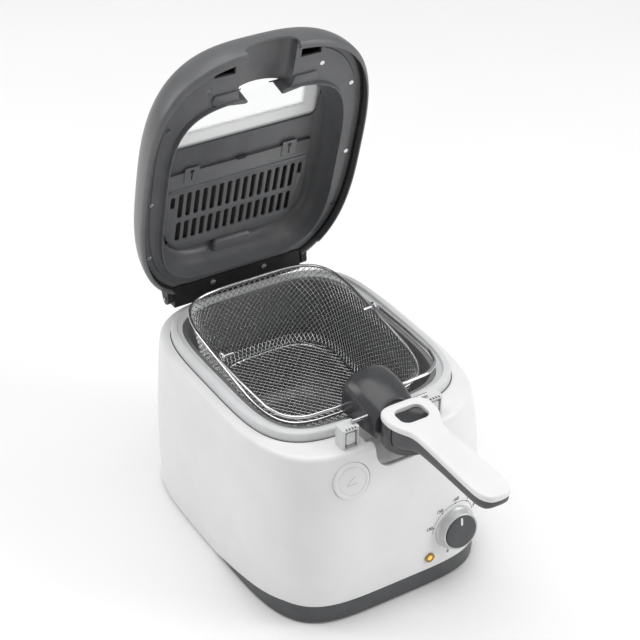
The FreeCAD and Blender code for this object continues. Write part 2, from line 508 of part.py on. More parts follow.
# filter cover with its two rows of slots and a finger lug
fc = rbox(-89.0, 89.0, -26.0, 90.0, PANEL_Z - 2.8, PANEL_Z - 0.3, 6.0).common(prism(PANEL, 200.0, 300.0, 4.5))
fc = fc.fuse(rbox(-86.0, 86.0, -3.2, 0.0, PANEL_Z - 4.2, PANEL_Z - 2.6, 0.7))
fc = fc.fuse(rbox(-24.0, 24.0, 84.0, 97.0, PANEL_Z - 11.0, PANEL_Z - 2.6, 4.0).common(prism(PANEL, 200.0, 300.0, 4.5)))
for i in range(17):
    x = (i - 8) * 10.1
    if i in (0, 16):
        fc = fc.cut(rbox(x - 2.7, x + 2.7, 8.0, 25.0, PANEL_Z - 8.0, PANEL_Z + 3.0, 2.5))
    else:
        fc = fc.cut(rbox(x - 2.9, x + 2.9, 6.0, 42.0, PANEL_Z - 8.0, PANEL_Z + 3.0, 2.7))
        fc = fc.cut(rbox(x - 2.9, x + 2.9, 48.5, 77.5, PANEL_Z - 8.0, PANEL_Z + 3.0, 2.7))
add("filter_cover", opened(fc))
add("filter_mat", opened(rbox(-88.0, 88.0, -4.0, 84.0, PANEL_Z + 2.7, PANEL_Z + 11.0, 4.0)))

knuckles = []
for sx in (-1, 1):
    x0, x1 = sorted((sx * 84.6, sx * 91.6))
    k = cyl((x0, HINGE_Y, HINGE_Z), (1, 0, 0), 7.0, x1 - x0)
    arm = Part.Face(Part.makePolygon([V(x0, HINGE_Y + 2, HINGE_Z - 6.5), V(x0, HINGE_Y + 3, HINGE_Z + 6.3), V(x0, 126.0, 241.0), V(x0, 108.0, 241.0), V(x0, 108.0, FRAME_Z + 3.0), V(x0, 124.0, FRAME_Z - 2.0), V(x0, HINGE_Y + 2, HINGE_Z - 6.5)])).extrude(V(x1 - x0, 0, 0))
    k = k.fuse(arm).removeSplitter().cut(cyl((x0 - 1, HINGE_Y, HINGE_Z), (1, 0, 0), 2.05, 12.0))
    k = k.cut(shell).cut(liner).cut(seal)
    parts = sorted(k.Solids, key=lambda s: -s.Volume)
    knuckles.append(parts[0])
add("lid_hinge_knuckles", opened(group(knuckles)))

# -------------------------------------------------------------------- basket
def basket_place(s):
    s = s.copy()
    s.rotate(V(0, 0, 0), V(1, 0, 0), BASKET_TILT)
    s.translate(V(0, BASKET_Y, BASKET_Z))
    return s


def bsec(k, t, z):
    ra, rb, rn = BASKET_RIM
    fa, fb, fn = BASKET_FLOOR
    a, b = ra + (fa - ra) * k - t, rb + (fb - rb) * k - t
    return (a, -b, b, rn + (fn - rn) * k, z)


D = BASKET_DEPTH
mesh = loft([bsec(1.45, 0.0, -D), bsec(1.08, 0.0, -D + 5.0), bsec(0.92, 0.0, -D + 14.0), bsec(0.5, 0.0, -D * 0.5), bsec(0.05, 0.0, -2.2)])
mesh = mesh.cut(loft([bsec(1.45, 1.2, -D + 1.2), bsec(1.08, 1.2, -D + 6.2), bsec(0.92, 1.2, -D + 15.0), bsec(0.5, 1.2, -D * 0.5), bsec(0.03, 1.2, 3.0)]))
# the sheet is laid out as wall panels and a floor panel with hairline seams
seams = Part.makeBox(300.0, 300.0, MESH_SEAM, V(-150.0, -150.0, -D + 5.0))
for ang in MESH_SEAMS_DEG:
    b = Part.makeBox(170.0, MESH_SEAM, D + 10.0, V(0.0, -MESH_SEAM / 2, -D + 5.0))
    b.rotate(V(0, 0, 0), V(0, 0, 1), ang)
    mesh = mesh.cut(b)
mesh = mesh.cut(seams)
add("basket_mesh", basket_place(group(mesh.Solids)))
rim_pts = [(x, y, 0.0) for x, y in pts_of(BASKET_RIM[0], -BASKET_RIM[1], BASKET_RIM[1], BASKET_RIM[2], 28)]
add("basket_rim_wire", basket_place(tube(rim_pts, RIM_R, closed=True)))
lo_pts = [(x, y, -D - 1.9) for x, y in pts_of(72.0, -81.0, 81.0, 3.6, 20)]
add("basket_foot_wire", basket_place(tube(lo_pts, 1.5, closed=True)))
add("pivot_eyes", group([Part.makeTorus(4.4, 1.3, V(s * PIVOT_X, PIVOT_Y, PIVOT_Z), V(1, 0, 0)) for s in (-1, 1)]))

# -------------------------------------------------------------------- handle
fork_pts = [(-83.0, PIVOT_Y, PIVOT_Z), (-98.8, PIVOT_Y, PIVOT_Z), (-FORK_X, PIVOT_Y - 3.2, PIVOT_Z), (-FORK_X - 0.6, -60.0, PIVOT_Z), (-FORK_X + 0.5, -110.0, PIVOT_Z), (-94.0, -132.0, PIVOT_Z),
            (-76.0, FORK_FRONT, PIVOT_Z), (-44.0, FORK_FRONT - 2.0, PIVOT_Z)]
fork_pts = fork_pts + [(-x, y, z) for x, y, z in reversed(fork_pts)]
fork = tube(fork_pts, FORK_R, 30.0)
add("handle_fork", fork)


def hub_sec(y, w, zb, zs, top):
    p = []
    for i in range(0, 21):
        t = math.pi * i / 20
        p.append(V(w * math.cos(t), y, zs + (top - zs) * math.sin(t)))
    c = Part.BSplineCurve()
    c.interpolate(p)
    return Part.Wire([c.toShape(), Part.LineSegment(V(-w, y, zs), V(-w, y, zb)).toShape(),
                      Part.LineSegment(V(-w, y, zb), V(w, y, zb)).toShape(), Part.LineSegment(V(w, y, zb), V(w, y, zs)).toShape()])


hub = Part.makeLoft([hub_sec(HUB_Y0, 27.5, HUB_BOTTOM, 234.0, 256.5), hub_sec(HUB_Y0 - 4.0, HUB_X, HUB_BOTTOM, 236.0, 260.0), hub_sec(HUB_Y0 - 16.0, HUB_X, HUB_BOTTOM, 236.0, HUB_TOP),
                     hub_sec(-176.0, HUB_X - 1.0, HUB_BOTTOM, 233.0, 257.0), hub_sec(HUB_Y1 - 4.0, HUB_X - 4.0, HUB_BOTTOM, 228.0, 247.6)], True, False)
hub_core = Part.makeLoft([hub_sec(HUB_Y0 - 6.0, HUB_X - 3.0, 200.0, 233.0, 256.0), hub_sec(HUB_Y0 - 16.0, HUB_X - 3.0, 200.0, 233.0, HUB_TOP - 3.5), hub_sec(-176.0, HUB_X - 4.0, 200.0, 230.0, 253.0)], True, False)
hub = hub.cut(hub_core)
# bosses inside the hub that hold the fork and guide the two pegs
hub = hub.fuse(box(-26.5, 26.5, -151.0, -141.0, 223.0, 235.0))
PEG_Y, PEG_Z, PEG_R = -183.7, 237.1, 2.1
drum_room = cyl((0, DRUM_Y, 150.0), (0, 0, 1), DRUM_R + 0.15, 150.0)
hub = hub.cut(drum_room).cut(fork)
hub = hub.cut(cyl((-60.0, PEG_Y, PEG_Z), (1, 0, 0), PEG_R + 0.06, 120.0))
hub = sorted(hub.Solids, key=lambda s: -s.Volume)[0]
add("handle_hub", hub)


def plate_pts(g, z):
    """Handle outline seen from above: rounded head, neck and grip, grown by g."""
    half = [(0.0, -199.6 + g), (14.0, -199.9 + g), (22.5 + g * .5, -202.6 + g * .8), (27.6 + g, -209.5 + g * .3), (28.9 + g, -220.0), (27.4 + g, -231.0), (23.2 + g, -241.0), (18.9 + g, -250.0),
            (17.3 + g, -262.0), (17.4 + g, -285.0), (18.0 + g, -315.0), (18.4 + g, -345.0), (17.4 + g, -361.0 - g * .3), (12.4 + g * .6, -370.6 - g * .8), (5.0, TIP_Y + 0.4 - g)]
    left = [(-x, y) for x, y in reversed(half[1:])]
    return [V(x, y, z) for x, y in half + left]


def plate(g, z0, z1):
    c = Part.BSplineCurve()
    c.interpolate(Points=plate_pts(g, z0), PeriodicFlag=True)
    return Part.Face(Part.Wire([c.toShape()])).extrude(V(0, 0, z1 - z0))


P0 = PLATE_TOP - PLATE_T
AP = (-16.4, 16.4, -235.6, -210.4)
cover = plate(0.0, P0, PLATE_TOP)
try:
    cover = cover.makeFillet(1.8, [e for e in cover.Edges if abs(e.BoundBox.ZMin - PLATE_TOP) < 1e-3 and abs(e.BoundBox.ZMax - PLATE_TOP) < 1e-3])
except Exception:
    pass
cover = cover.cut(rbox(AP[0], AP[1], AP[2], AP[3], 240.0, 270.0, 9.0))
hub2 = OUT["handle_hub"].cut(plate(0.3, P0 - 0.2, PLATE_TOP + 20))
OUT["handle_hub"] = sorted(hub2.Solids, key=lambda s: -s.Volume)[0]
grip_half = Part.makePolygon([V(0, -236.0, P0 - 0.2), V(0, -236.0, 226.0), V(0, -256.0, 234.5), V(0, -300.0, 238.0), V(0, -352.0, 240.2), V(0, -369.5, 241.6), V(0, TIP_Y + 1.2, P0 - 0.2), V(0, -236.0, P0 - 0.2)])
grip = Part.Face(grip_half).extrude(V(60, 0, 0)).translated(V(-30, 0, 0)).common(plate(-1.0, 200.0, P0 - 0.2))
drum = cyl((0, DRUM_Y, DRUM_BOTTOM), (0, 0, 1), DRUM_R, P0 - 0.2 - DRUM_BOTTOM)
lower = drum.fuse(grip)
WELL = rbox(AP[0] + 0.2, AP[1] - 0.2, AP[2] + 0.2, AP[3] - 0.2, DRUM_BOTTOM + 3.0, 270.0, 8.8)
lower = lower.cut(WELL)
HSCR = [(0.0, -268.0), (0.0, -340.0)]
for x, y in HSCR:
    lower = lower.cut(cyl((x, y, 225.0), (0, 0, 1), 1.6, 40.0)).cut(cyl((x, y, 220.0), (0, 0, 1), 3.0, 22.8))
    cover = cover.cut(cyl((x, y, 240.0), (0, 0, 1), 1.45, 12.0))
lower = sorted(lower.Solids, key=lambda s: -s.Volume)[0]
add("handle_lower_grip", lower)
add("handle_cover", cover)
add("handle_screws", group([screw((x, y, 241.2), (0, 0, 1), 2.8, 1.6, 1.4, 8.4) for x, y in HSCR]))
bt = rbox(AP[0] + 0.6, AP[1] - 0.6, AP[2] + 0.6, AP[3] - 0.6, 240.5, 251.4, 8.4)
bt = bt.cut(Part.makeSphere(60.0, V(0, DRUM_Y - 6.3, 251.4 + 57.6)))
bt = bt.fuse(cyl((0, -223.0, 232.0), (0, 0, 1), 5.0, 9.0))
add("handle_release_button", bt)
add("handle_button_spring", helix((0, -223.0, 222.6), (0, 0, 1), 7.4, 0.7, 3.4, 5))
for s, name in ((-1, "support_peg_left"), (1, "support_peg_right")):
    x0, x1 = sorted((s * 22.0, s * 46.0))
    add(name, cyl((x0, PEG_Y, PEG_Z), (1, 0, 0), PEG_R, x1 - x0))

# --------------------------------------------------------------------- write
os.makedirs("parts", exist_ok=True)
for name, shape in OUT.items():
    s = shape.copy()
    s.translate(V(0, Y_SHIFT, 0))
    solids = s.Solids
    s = solids[0] if len(solids) == 1 else Part.makeCompound(solids)
    bad = [i for i, k in enumerate(solids) if not k.isValid() or k.Volume <= 0]
    b = s.BoundBox
    print("%-24s solids %d vol %9.0f  x %.1f %.1f  y %.1f %.1f  z %.1f %.1f %s" % (name, len(solids), s.Volume, b.XMin, b.XMax, b.YMin, b.YMax, b.ZMin, b.ZMax, "BAD" if bad else ""))
    s.exportStep("parts/%s.step" % name)
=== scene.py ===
import bpy
import bmesh
import json
import math
import numpy as np
from mathutils import Vector, Matrix


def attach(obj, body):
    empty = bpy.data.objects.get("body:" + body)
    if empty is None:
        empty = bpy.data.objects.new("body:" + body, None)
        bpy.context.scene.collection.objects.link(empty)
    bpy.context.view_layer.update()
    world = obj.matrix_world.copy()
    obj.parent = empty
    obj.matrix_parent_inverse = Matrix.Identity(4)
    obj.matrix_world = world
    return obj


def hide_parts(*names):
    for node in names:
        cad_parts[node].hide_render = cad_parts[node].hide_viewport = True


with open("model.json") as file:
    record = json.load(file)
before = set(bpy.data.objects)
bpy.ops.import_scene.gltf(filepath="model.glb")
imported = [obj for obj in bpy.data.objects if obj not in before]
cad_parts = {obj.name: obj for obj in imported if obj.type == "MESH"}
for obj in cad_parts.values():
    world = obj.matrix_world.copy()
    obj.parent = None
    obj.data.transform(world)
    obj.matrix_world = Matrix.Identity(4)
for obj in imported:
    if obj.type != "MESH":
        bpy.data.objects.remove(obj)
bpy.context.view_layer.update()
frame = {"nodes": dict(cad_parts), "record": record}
NODES = frame["nodes"]

YS = 98.4555                       # millimetres from the drawing's Y to the row frame's Y
HY, HZ, OPEN = 139.8, 223.1, 74.25


def M(p):
    """Drawing millimetres to row-frame metres."""
    p = np.asarray(p, float)
    return (p + np.array([0.0, YS, 0.0])) / 1000.0


def lid_open(p):
    """Points of the closed lid (drawing millimetres) turned to the open pose."""
    p = np.asarray(p, float)
    a = -math.radians(OPEN)
    y, z = p[..., 1] - HY, p[..., 2] - HZ
    out = p.copy()
    out[..., 1] = HY + y * math.cos(a) - z * math.sin(a)
    out[..., 2] = HZ + y * math.sin(a) + z * math.cos(a)
    return out


# ------------------------------------------------------------------ materials
def material(name, dark, light, rough=0.45, metal=0.0, scale=60.0, bump=0.0, bump_scale=900.0, coat=0.0, spec=0.5,
             transmission=0.0, ior=1.45, rough_var=0.06, alpha=None, emit=None, stretch=None):
    m = bpy.data.materials.new(name)
    m.use_nodes = True
    nt = m.node_tree
    b = nt.nodes["Principled BSDF"]
    tc = nt.nodes.new("ShaderNodeTexCoord")
    vec = tc.outputs["Object"]
    if stretch:
        mp = nt.nodes.new("ShaderNodeMapping")
        mp.inputs["Scale"].default_value = stretch
        nt.links.new(vec, mp.inputs["Vector"])
        vec = mp.outputs["Vector"]
    n1 = nt.nodes.new("ShaderNodeTexNoise")
    n1.inputs["Scale"].default_value = scale
    n1.inputs["Detail"].default_value = 4.0
    nt.links.new(vec, n1.inputs["Vector"])
    ramp = nt.nodes.new("ShaderNodeValToRGB")
    ramp.color_ramp.elements[0].position = 0.3
    ramp.color_ramp.elements[1].position = 0.7
    ramp.color_ramp.elements[0].color = (*dark, 1)
    ramp.color_ramp.elements[1].color = (*light, 1)
    nt.links.new(n1.outputs["Fac"], ramp.inputs["Fac"])
    nt.links.new(ramp.outputs["Color"], b.inputs["Base Color"])
    mr = nt.nodes.new("ShaderNodeMapRange")
    mr.inputs["To Min"].default_value = max(0.02, rough - rough_var)
    mr.inputs["To Max"].default_value = min(1.0, rough + rough_var)
    nt.links.new(n1.outputs["Fac"], mr.inputs["Value"])
    nt.links.new(mr.outputs["Result"], b.inputs["Roughness"])
    if bump > 0:
        n2 = nt.nodes.new("ShaderNodeTexNoise")
        n2.inputs["Scale"].default_value = bump_scale
        n2.inputs["Detail"].default_value = 2.0
        nt.links.new(vec, n2.inputs["Vector"])
        bp = nt.nodes.new("ShaderNodeBump")
        bp.inputs["Strength"].default_value = bump
        bp.inputs["Distance"].default_value = 0.0004
        nt.links.new(n2.outputs["Fac"], bp.inputs["Height"])
        nt.links.new(bp.outputs["Normal"], b.inputs["Normal"])
    b.inputs["Metallic"].default_value = metal
    b.inputs["Specular IOR Level"].default_value = spec
    b.inputs["IOR"].default_value = ior
    b.inputs["Coat Weight"].default_value = coat
    b.inputs["Coat Roughness"].default_value = 0.12
    b.inputs["Transmission Weight"].default_value = transmission
    if alpha is not None:
        b.inputs["Alpha"].default_value = alpha
    if emit:
        b.inputs["Emission Color"].default_value = (*emit[0], 1)
        b.inputs["Emission Strength"].default_value = emit[1]
    return m


MAT = {
    "white": material("white_plastic", (0.80, 0.80, 0.80), (0.84, 0.84, 0.84), rough=0.34, scale=25, bump=0.04, coat=0.15),
    "dark": material("dark_plastic", (0.066, 0.068, 0.071), (0.082, 0.084, 0.088), rough=0.42, scale=70, bump=0.10),
    "black": material("black_plastic", (0.012, 0.012, 0.013), (0.022, 0.022, 0.023), rough=0.45, scale=70, bump=0.08),
    "rubber": material("foot_rubber", (0.015, 0.015, 0.015), (0.03, 0.03, 0.03), rough=0.8, scale=90, bump=0.2),
    "steel": material("steel", (0.50, 0.50, 0.51), (0.62, 0.62, 0.63), rough=0.28, metal=1.0, scale=200),
    "collar": material("collar_pale", (0.66, 0.665, 0.67), (0.71, 0.715, 0.72), rough=0.36, scale=40, bump=0.04),
    "pot": material("pot_coating", (0.30, 0.30, 0.30), (0.37, 0.37, 0.37), rough=0.42, metal=0.75, scale=300, bump=0.10, bump_scale=1500),
    "sheet": material("bright_sheet", (0.62, 0.62, 0.63), (0.74, 0.74, 0.75), rough=0.3, metal=1.0, scale=200),
    "cream": material("cream_plastic", (0.62, 0.58, 0.47), (0.70, 0.66, 0.55), rough=0.5, scale=60),
    "copper": material("copper_tone", (0.62, 0.32, 0.18), (0.72, 0.40, 0.24), rough=0.3, metal=1.0, scale=200),
    "lampring": material("lamp_ring", (0.30, 0.20, 0.06), (0.42, 0.29, 0.10), rough=0.35, metal=0.9, scale=200),
    "amber": material("amber_lens", (0.90, 0.36, 0.03), (1.0, 0.50, 0.08), rough=0.15, scale=150, emit=((1.0, 0.45, 0.08), 0.9)),
    "chrome": material("chrome", (0.68, 0.68, 0.69), (0.78, 0.78, 0.79), rough=0.13, metal=1.0, scale=300, rough_var=0.04),
    "lid": material("lid_grey", (0.112, 0.114, 0.117), (0.130, 0.132, 0.136), rough=0.34, scale=50, bump=0.06, spec=0.6),
    "liner": material("liner_grey", (0.108, 0.110, 0.114), (0.128, 0.130, 0.135), rough=0.33, scale=50, bump=0.06, spec=0.6),
    "panel": material("panel_grey", (0.150, 0.152, 0.156), (0.175, 0.177, 0.182), rough=0.36, scale=50, bump=0.08),
    "seal": material("seal_rubber", (0.07, 0.07, 0.073), (0.09, 0.09, 0.094), rough=0.6, scale=80, bump=0.1),
    "glass": material("window_glass", (0.97, 0.985, 0.985), (1.0, 1.0, 1.0), rough=0.04, rough_var=0.02, scale=20, transmission=1.0, ior=1.12, spec=0.3),
    "filter": material("filter_fabric", (0.02, 0.02, 0.02), (0.05, 0.05, 0.05), rough=0.95, scale=400, bump=0.6, bump_scale=500),
    "hbutton": material("button_grey", (0.030, 0.031, 0.033), (0.042, 0.043, 0.045), rough=0.16, scale=60, rough_var=0.03),
    "gloss": material("dark_gloss", (0.048, 0.049, 0.052), (0.060, 0.061, 0.064), rough=0.24, scale=70, bump=0.03, rough_var=0.04, spec=0.6),
    "silver": material("dial_silver", (0.56, 0.565, 0.57), (0.66, 0.665, 0.67), rough=0.33, metal=0.35, scale=120),
    "print": material("scale_print", (0.025, 0.025, 0.028), (0.05, 0.05, 0.053), rough=0.6, scale=300),
    "print_pale": material("pale_print", (0.52, 0.52, 0.53), (0.60, 0.60, 0.61), rough=0.6, scale=300),
    "wire": material("wire_sleeve", (0.02, 0.02, 0.02), (0.04, 0.04, 0.04), rough=0.6, scale=100),
}


def frosted_border(m):
    """Clouds the pane toward its rear edge and its two sides."""
    nt = m.node_tree
    b = nt.nodes["Principled BSDF"]
    tc = nt.nodes.new("ShaderNodeTexCoord")
    sep = nt.nodes.new("ShaderNodeSeparateXYZ")
    nt.links.new(tc.outputs["Generated"], sep.inputs["Vector"])

    def calc(op, a, c=None):
        q = nt.nodes.new("ShaderNodeMath")
        q.operation = op
        for k, val in enumerate((a, c)):
            if val is None:
                continue
            if isinstance(val, (int, float)):
                q.inputs[k].default_value = val
            else:
                nt.links.new(val, q.inputs[k])
        return q.outputs[0]

    def ease(val, a, c):
        q = nt.nodes.new("ShaderNodeMapRange")
        q.interpolation_type = "SMOOTHSTEP"
        q.inputs["From Min"].default_value, q.inputs["From Max"].default_value = a, c
        nt.links.new(val, q.inputs["Value"])
        return q.outputs["Result"]

    back = calc("SUBTRACT", 1.0, sep.outputs["Z"])
    side = calc("MULTIPLY", calc("ABSOLUTE", calc("SUBTRACT", sep.outputs["X"], 0.5)), 2.0)
    cloud = calc("MAXIMUM", ease(back, 0.55, 0.67), ease(side, 0.73, 0.83))
    edge = calc("MAXIMUM", ease(back, 0.80, 0.90), ease(side, 0.90, 0.99))
    nt.links.new(calc("SUBTRACT", 1.0, calc("MULTIPLY", cloud, 0.96)), b.inputs["Transmission Weight"])
    old = b.inputs["Roughness"].links[0].from_socket
    nt.links.new(calc("ADD", old, calc("MULTIPLY", cloud, 0.5)), b.inputs["Roughness"])
    tone = b.inputs["Base Color"].links[0].from_socket
    mix = nt.nodes.new("ShaderNodeMixRGB")
    nt.links.new(edge, mix.inputs["Fac"])
    nt.links.new(tone, mix.inputs["Color1"])
    mix.inputs["Color2"].default_value = (0.24, 0.245, 0.25, 1)
    nt.links.new(mix.outputs["Color"], b.inputs["Base Color"])


frosted_border(MAT["glass"])
SLOT = {s["node"]: s["material_slot"] for s in frame["record"]["subparts"]}


# --------------------------------------------------------------------- meshes
def mesh_obj(name, verts, faces, mat, smooth=True, sharp=35.0, metres=False):
    me = bpy.data.meshes.new(name)
    v = np.asarray(verts, float)
    if not metres:
        v = M(v)
    me.from_pydata([tuple(p) for p in v], [], [tuple(f) for f in faces])
    bm = bmesh.new()
    bm.from_mesh(me)
    bmesh.ops.remove_doubles(bm, verts=bm.verts, dist=1e-7)
    bmesh.ops.recalc_face_normals(bm, faces=bm.faces)
    bm.to_mesh(me)
    bm.free()
    o = bpy.data.objects.new(name, me)
    bpy.context.scene.collection.objects.link(o)
    if mat:
        me.materials.append(MAT[mat])
    if smooth:
        shade(o, sharp)
    return o


def shade(o, sharp=35.0):
    me = o.data
    me.polygons.foreach_set("use_smooth", [True] * len(me.polygons))
    me.set_sharp_from_angle(angle=math.radians(sharp))
    me.update()


def loft(rings, close_v=False, cap0=True, cap1=True):
    """Vertices and faces of a skin over rings with the same number of points."""
    k, n = len(rings), len(rings[0])
    v = np.concatenate([np.asarray(r, float) for r in rings])
    f = []
    for i in range(k if close_v else k - 1):
        a, b = i * n, ((i + 1) % k) * n
        for j in range(n):
            j2 = (j + 1) % n
            f.append((a + j, a + j2, b + j2, b + j))
    if not close_v:
        if cap0:
            f.append(tuple(range(n - 1, -1, -1)))
        if cap1:
            f.append(tuple((k - 1) * n + j for j in range(n)))
    return v, f


def sup(a, yf, yr, n, z, count=168):
    y0, b = (yf + yr) / 2.0, (yr - yf) / 2.0
    t = np.linspace(0, 2 * math.pi, count, endpoint=False)
    c, s = np.cos(t), np.sin(t)
    r = (np.abs(c / a) ** n + np.abs(s / b) ** n) ** (-1.0 / n)
    zz = np.full(count, z) if np.isscalar(z) else z
    return np.stack([r * c, y0 + r * s, zz], 1)


def inset(sec, d):
    a, yf, yr, n = sec[:4]
    return (a - d, yf + d, yr - d, n)


def prism_y(pts, y0, y1):
    """Solid along Y from an outline of (x, z) points."""
    n = len(pts)
    v = [(x, y0, z) for x, z in pts] + [(x, y1, z) for x, z in pts]
    f = [tuple(range(n)), tuple(range(2 * n - 1, n - 1, -1))] + [(i, (i + 1) % n, n + (i + 1) % n, n + i) for i in range(n)]
    return np.array(v), f


def prism_z(pts, z0, z1):
    n = len(pts)
    v = [(x, y, z0) for x, y in pts] + [(x, y, z1) for x, y in pts]
    f = [tuple(range(n - 1, -1, -1)), tuple(range(n, 2 * n))] + [(i, (i + 1) % n, n + (i + 1) % n, n + i) for i in range(n)]
    return np.array(v), f


def rrect(x0, x1, y0, y1, r, seg=8):
    out = []
    for cx, cy, a0 in ((x1 - r, y1 - r, 0), (x0 + r, y1 - r, 90), (x0 + r, y0 + r, 180), (x1 - r, y0 + r, 270)):
        for i in range(seg + 1):
            t = math.radians(a0 + 90.0 * i / seg)
            out.append((cx + r * math.cos(t), cy + r * math.sin(t)))
    return out


def arch_pts(w, z0, zs, top, seg=28):
    return [(-w, z0), (w, z0)] + [(w * math.cos(math.pi * i / seg), zs + (top - zs) * math.sin(math.pi * i / seg)) for i in range(seg + 1)]


def boxv(x0, x1, y0, y1, z0, z1):
    return prism_z([(x0, y0), (x1, y0), (x1, y1), (x0, y1)], z0, z1)


def cyl_x(x0, x1, y, z, r, seg=40):
    p = [(y + r * math.cos(2 * math.pi * i / seg), z + r * math.sin(2 * math.pi * i / seg)) for i in range(seg)]
    v = [(x0, a, b) for a, b in p] + [(x1, a, b) for a, b in p]
    n = seg
    f = [tuple(range(n)), tuple(range(2 * n - 1, n - 1, -1))] + [(i, (i + 1) % n, n + (i + 1) % n, n + i) for i in range(n)]
    return np.array(v), f


def cut(obj, vf, op="DIFFERENCE", turn=None):
    """Boolean with a throw-away solid given as vertices and faces."""
    v, f = vf
    if turn is not None:
        v = turn(v)
    c = mesh_obj("cutter", v, f, None, smooth=False)
    m = obj.modifiers.new("b", "BOOLEAN")
    m.operation, m.solver, m.object = op, "EXACT", c
    bake(obj)
    me = c.data
    bpy.data.objects.remove(c)
    bpy.data.meshes.remove(me)


def bake(obj):
    bpy.context.view_layer.update()
    dg = bpy.context.evaluated_depsgraph_get()
    me = bpy.data.meshes.new_from_object(obj.evaluated_get(dg))
    old = obj.data
    obj.modifiers.clear()
    obj.data = me
    me.name = old.name
    bpy.data.meshes.remove(old)


def round_edges(obj, width, seg=2, angle=38.0, sharp=38.0):
    m = obj.modifiers.new("bevel", "BEVEL")
    m.width, m.segments, m.limit_method, m.angle_limit = width / 1000.0, seg, "ANGLE", math.radians(angle)
    m.use_clamp_overlap = True
    m.miter_outer = "MITER_ARC"
    bake(obj)
    shade(obj, sharp)


def tube(name, pts, r, mat, closed=False, sides=12, turn=None):
    """Round wire along a smoothed polyline, in drawing millimetres."""
    p = np.asarray(pts, float)
    n = len(p)
    if closed:
        t = np.roll(p, -1, 0) - np.roll(p, 1, 0)
    else:
        t = np.gradient(p, axis=0)
    t /= np.linalg.norm(t, axis=1)[:, None]
    up = np.array([0.0, 0.0, 1.0])
    u = np.zeros_like(p)
    ref = up - t[0] * np.dot(up, t[0])
    if np.linalg.norm(ref) < 0.2:
        ref = np.array([1.0, 0, 0]) - t[0] * t[0][0]
    u[0] = ref / np.linalg.norm(ref)
    for i in range(1, n):
        w = u[i - 1] - t[i] * np.dot(u[i - 1], t[i])
        u[i] = w / np.linalg.norm(w)
    w = np.cross(t, u)
    ang = np.linspace(0, 2 * math.pi, sides, endpoint=False)
    rings = [p[i] + r * (np.cos(ang)[:, None] * u[i] + np.sin(ang)[:, None] * w[i]) for i in range(n)]
    v, f = loft(rings, close_v=closed)
    if turn is not None:
        v = turn(v)
    return mesh_obj(name, v, f, mat, sharp=60)


def rounded(pts, bend, closed=False, seg=8):
    """Polyline with each corner turned into an arc."""
    p = [np.asarray(q, float) for q in pts]
    n, out = len(p), []
    for i in range(n):
        if not closed and i in (0, n - 1):
            out.append(p[i])
            continue
        a, b, c = p[i - 1], p[i], p[(i + 1) % n]
        u, w = a - b, c - b
        lu, lw = np.linalg.norm(u), np.linalg.norm(w)
        u, w = u / lu, w / lw
        ang = math.acos(max(-1, min(1, float(np.dot(u, w)))))
        tan = math.tan((math.pi - ang) / 2)
        if tan < 1e-4:
            out.append(b)
            continue
        t = min(0.45 * min(lu, lw), bend * tan)
        r = t / tan
        bis = (u + w) / np.linalg.norm(u + w)
        cen = b + bis * (r / math.sin(ang / 2))
        p1, p2 = b + u * t - cen, b + w * t - cen
        tot = math.pi - ang
        for k in range(seg + 1):
            s = k / seg
            out.append(cen + (math.sin((1 - s) * tot) * p1 + math.sin(s * tot) * p2) / math.sin(tot))
    return np.array(out)


def resample(p, step, closed=False):
    p = np.asarray(p, float)
    if closed:
        p = np.concatenate([p, p[:1]])
    d = np.concatenate([[0], np.cumsum(np.linalg.norm(np.diff(p, axis=0), axis=1))])
    n = max(4, int(round(d[-1] / step)))
    s = np.linspace(0, d[-1], n + 1)
    out = np.stack([np.interp(s, d, p[:, k]) for k in range(p.shape[1])], 1)
    return out[:-1] if closed else out


def revolve(name, prof, base, yaw, pitch, mat, seg=96, sharp=30.0):
    """Turned piece: (radius, height) profile about an axis pointing out of the front."""
    rings = []
    ang = np.linspace(0, 2 * math.pi, seg, endpoint=False)
    for r, h in prof:
        rings.append(np.stack([r * np.cos(ang), r * np.sin(ang), np.full(seg, h)], 1))
    v, f = loft(rings, cap0=True, cap1=True)
    return mesh_obj(name, out_of_front(v, base, yaw, pitch), f, mat, sharp=sharp)


def front_axes(yaw, pitch):
    cy, sy, cp, sp = math.cos(math.radians(yaw)), math.sin(math.radians(yaw)), math.cos(math.radians(pitch)), math.sin(math.radians(pitch))
    n = np.array([sy * cp, -cy * cp, sp])
    x = np.array([cy, sy, 0.0])
    return x, np.cross(n, x), n


def out_of_front(v, base, yaw, pitch):
    x, y, n = front_axes(yaw, pitch)
    v = np.asarray(v, float)
    return np.asarray(base, float) + v[:, :1] * x + v[:, 1:2] * y + v[:, 2:3] * n


def use(obj, body, slot, *nodes):
    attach(obj, body)
    if nodes:
        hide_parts(*nodes)
    return obj


def hermite(table, z):
    """Smooth interpolation of rows (z, values...) at z."""
    t = np.asarray(table, float)
    x = t[:, 0]
    out = []
    for k in range(1, t.shape[1]):
        y = t[:, k]
        d = np.diff(y) / np.diff(x)
        m = np.concatenate([[d[0]], (d[:-1] * np.diff(x)[1:] + d[1:] * np.diff(x)[:-1]) / (x[2:] - x[:-2]), [d[-1]]])
        i = int(np.clip(np.searchsorted(x, z) - 1, 0, len(x) - 2))
        h = x[i + 1] - x[i]
        s = (z - x[i]) / h
        out.append((2 * s**3 - 3 * s**2 + 1) * y[i] + (s**3 - 2 * s**2 + s) * h * m[i] + (-2 * s**3 + 3 * s**2) * y[i + 1] + (s**3 - s**2) * h * m[i + 1])
    return out


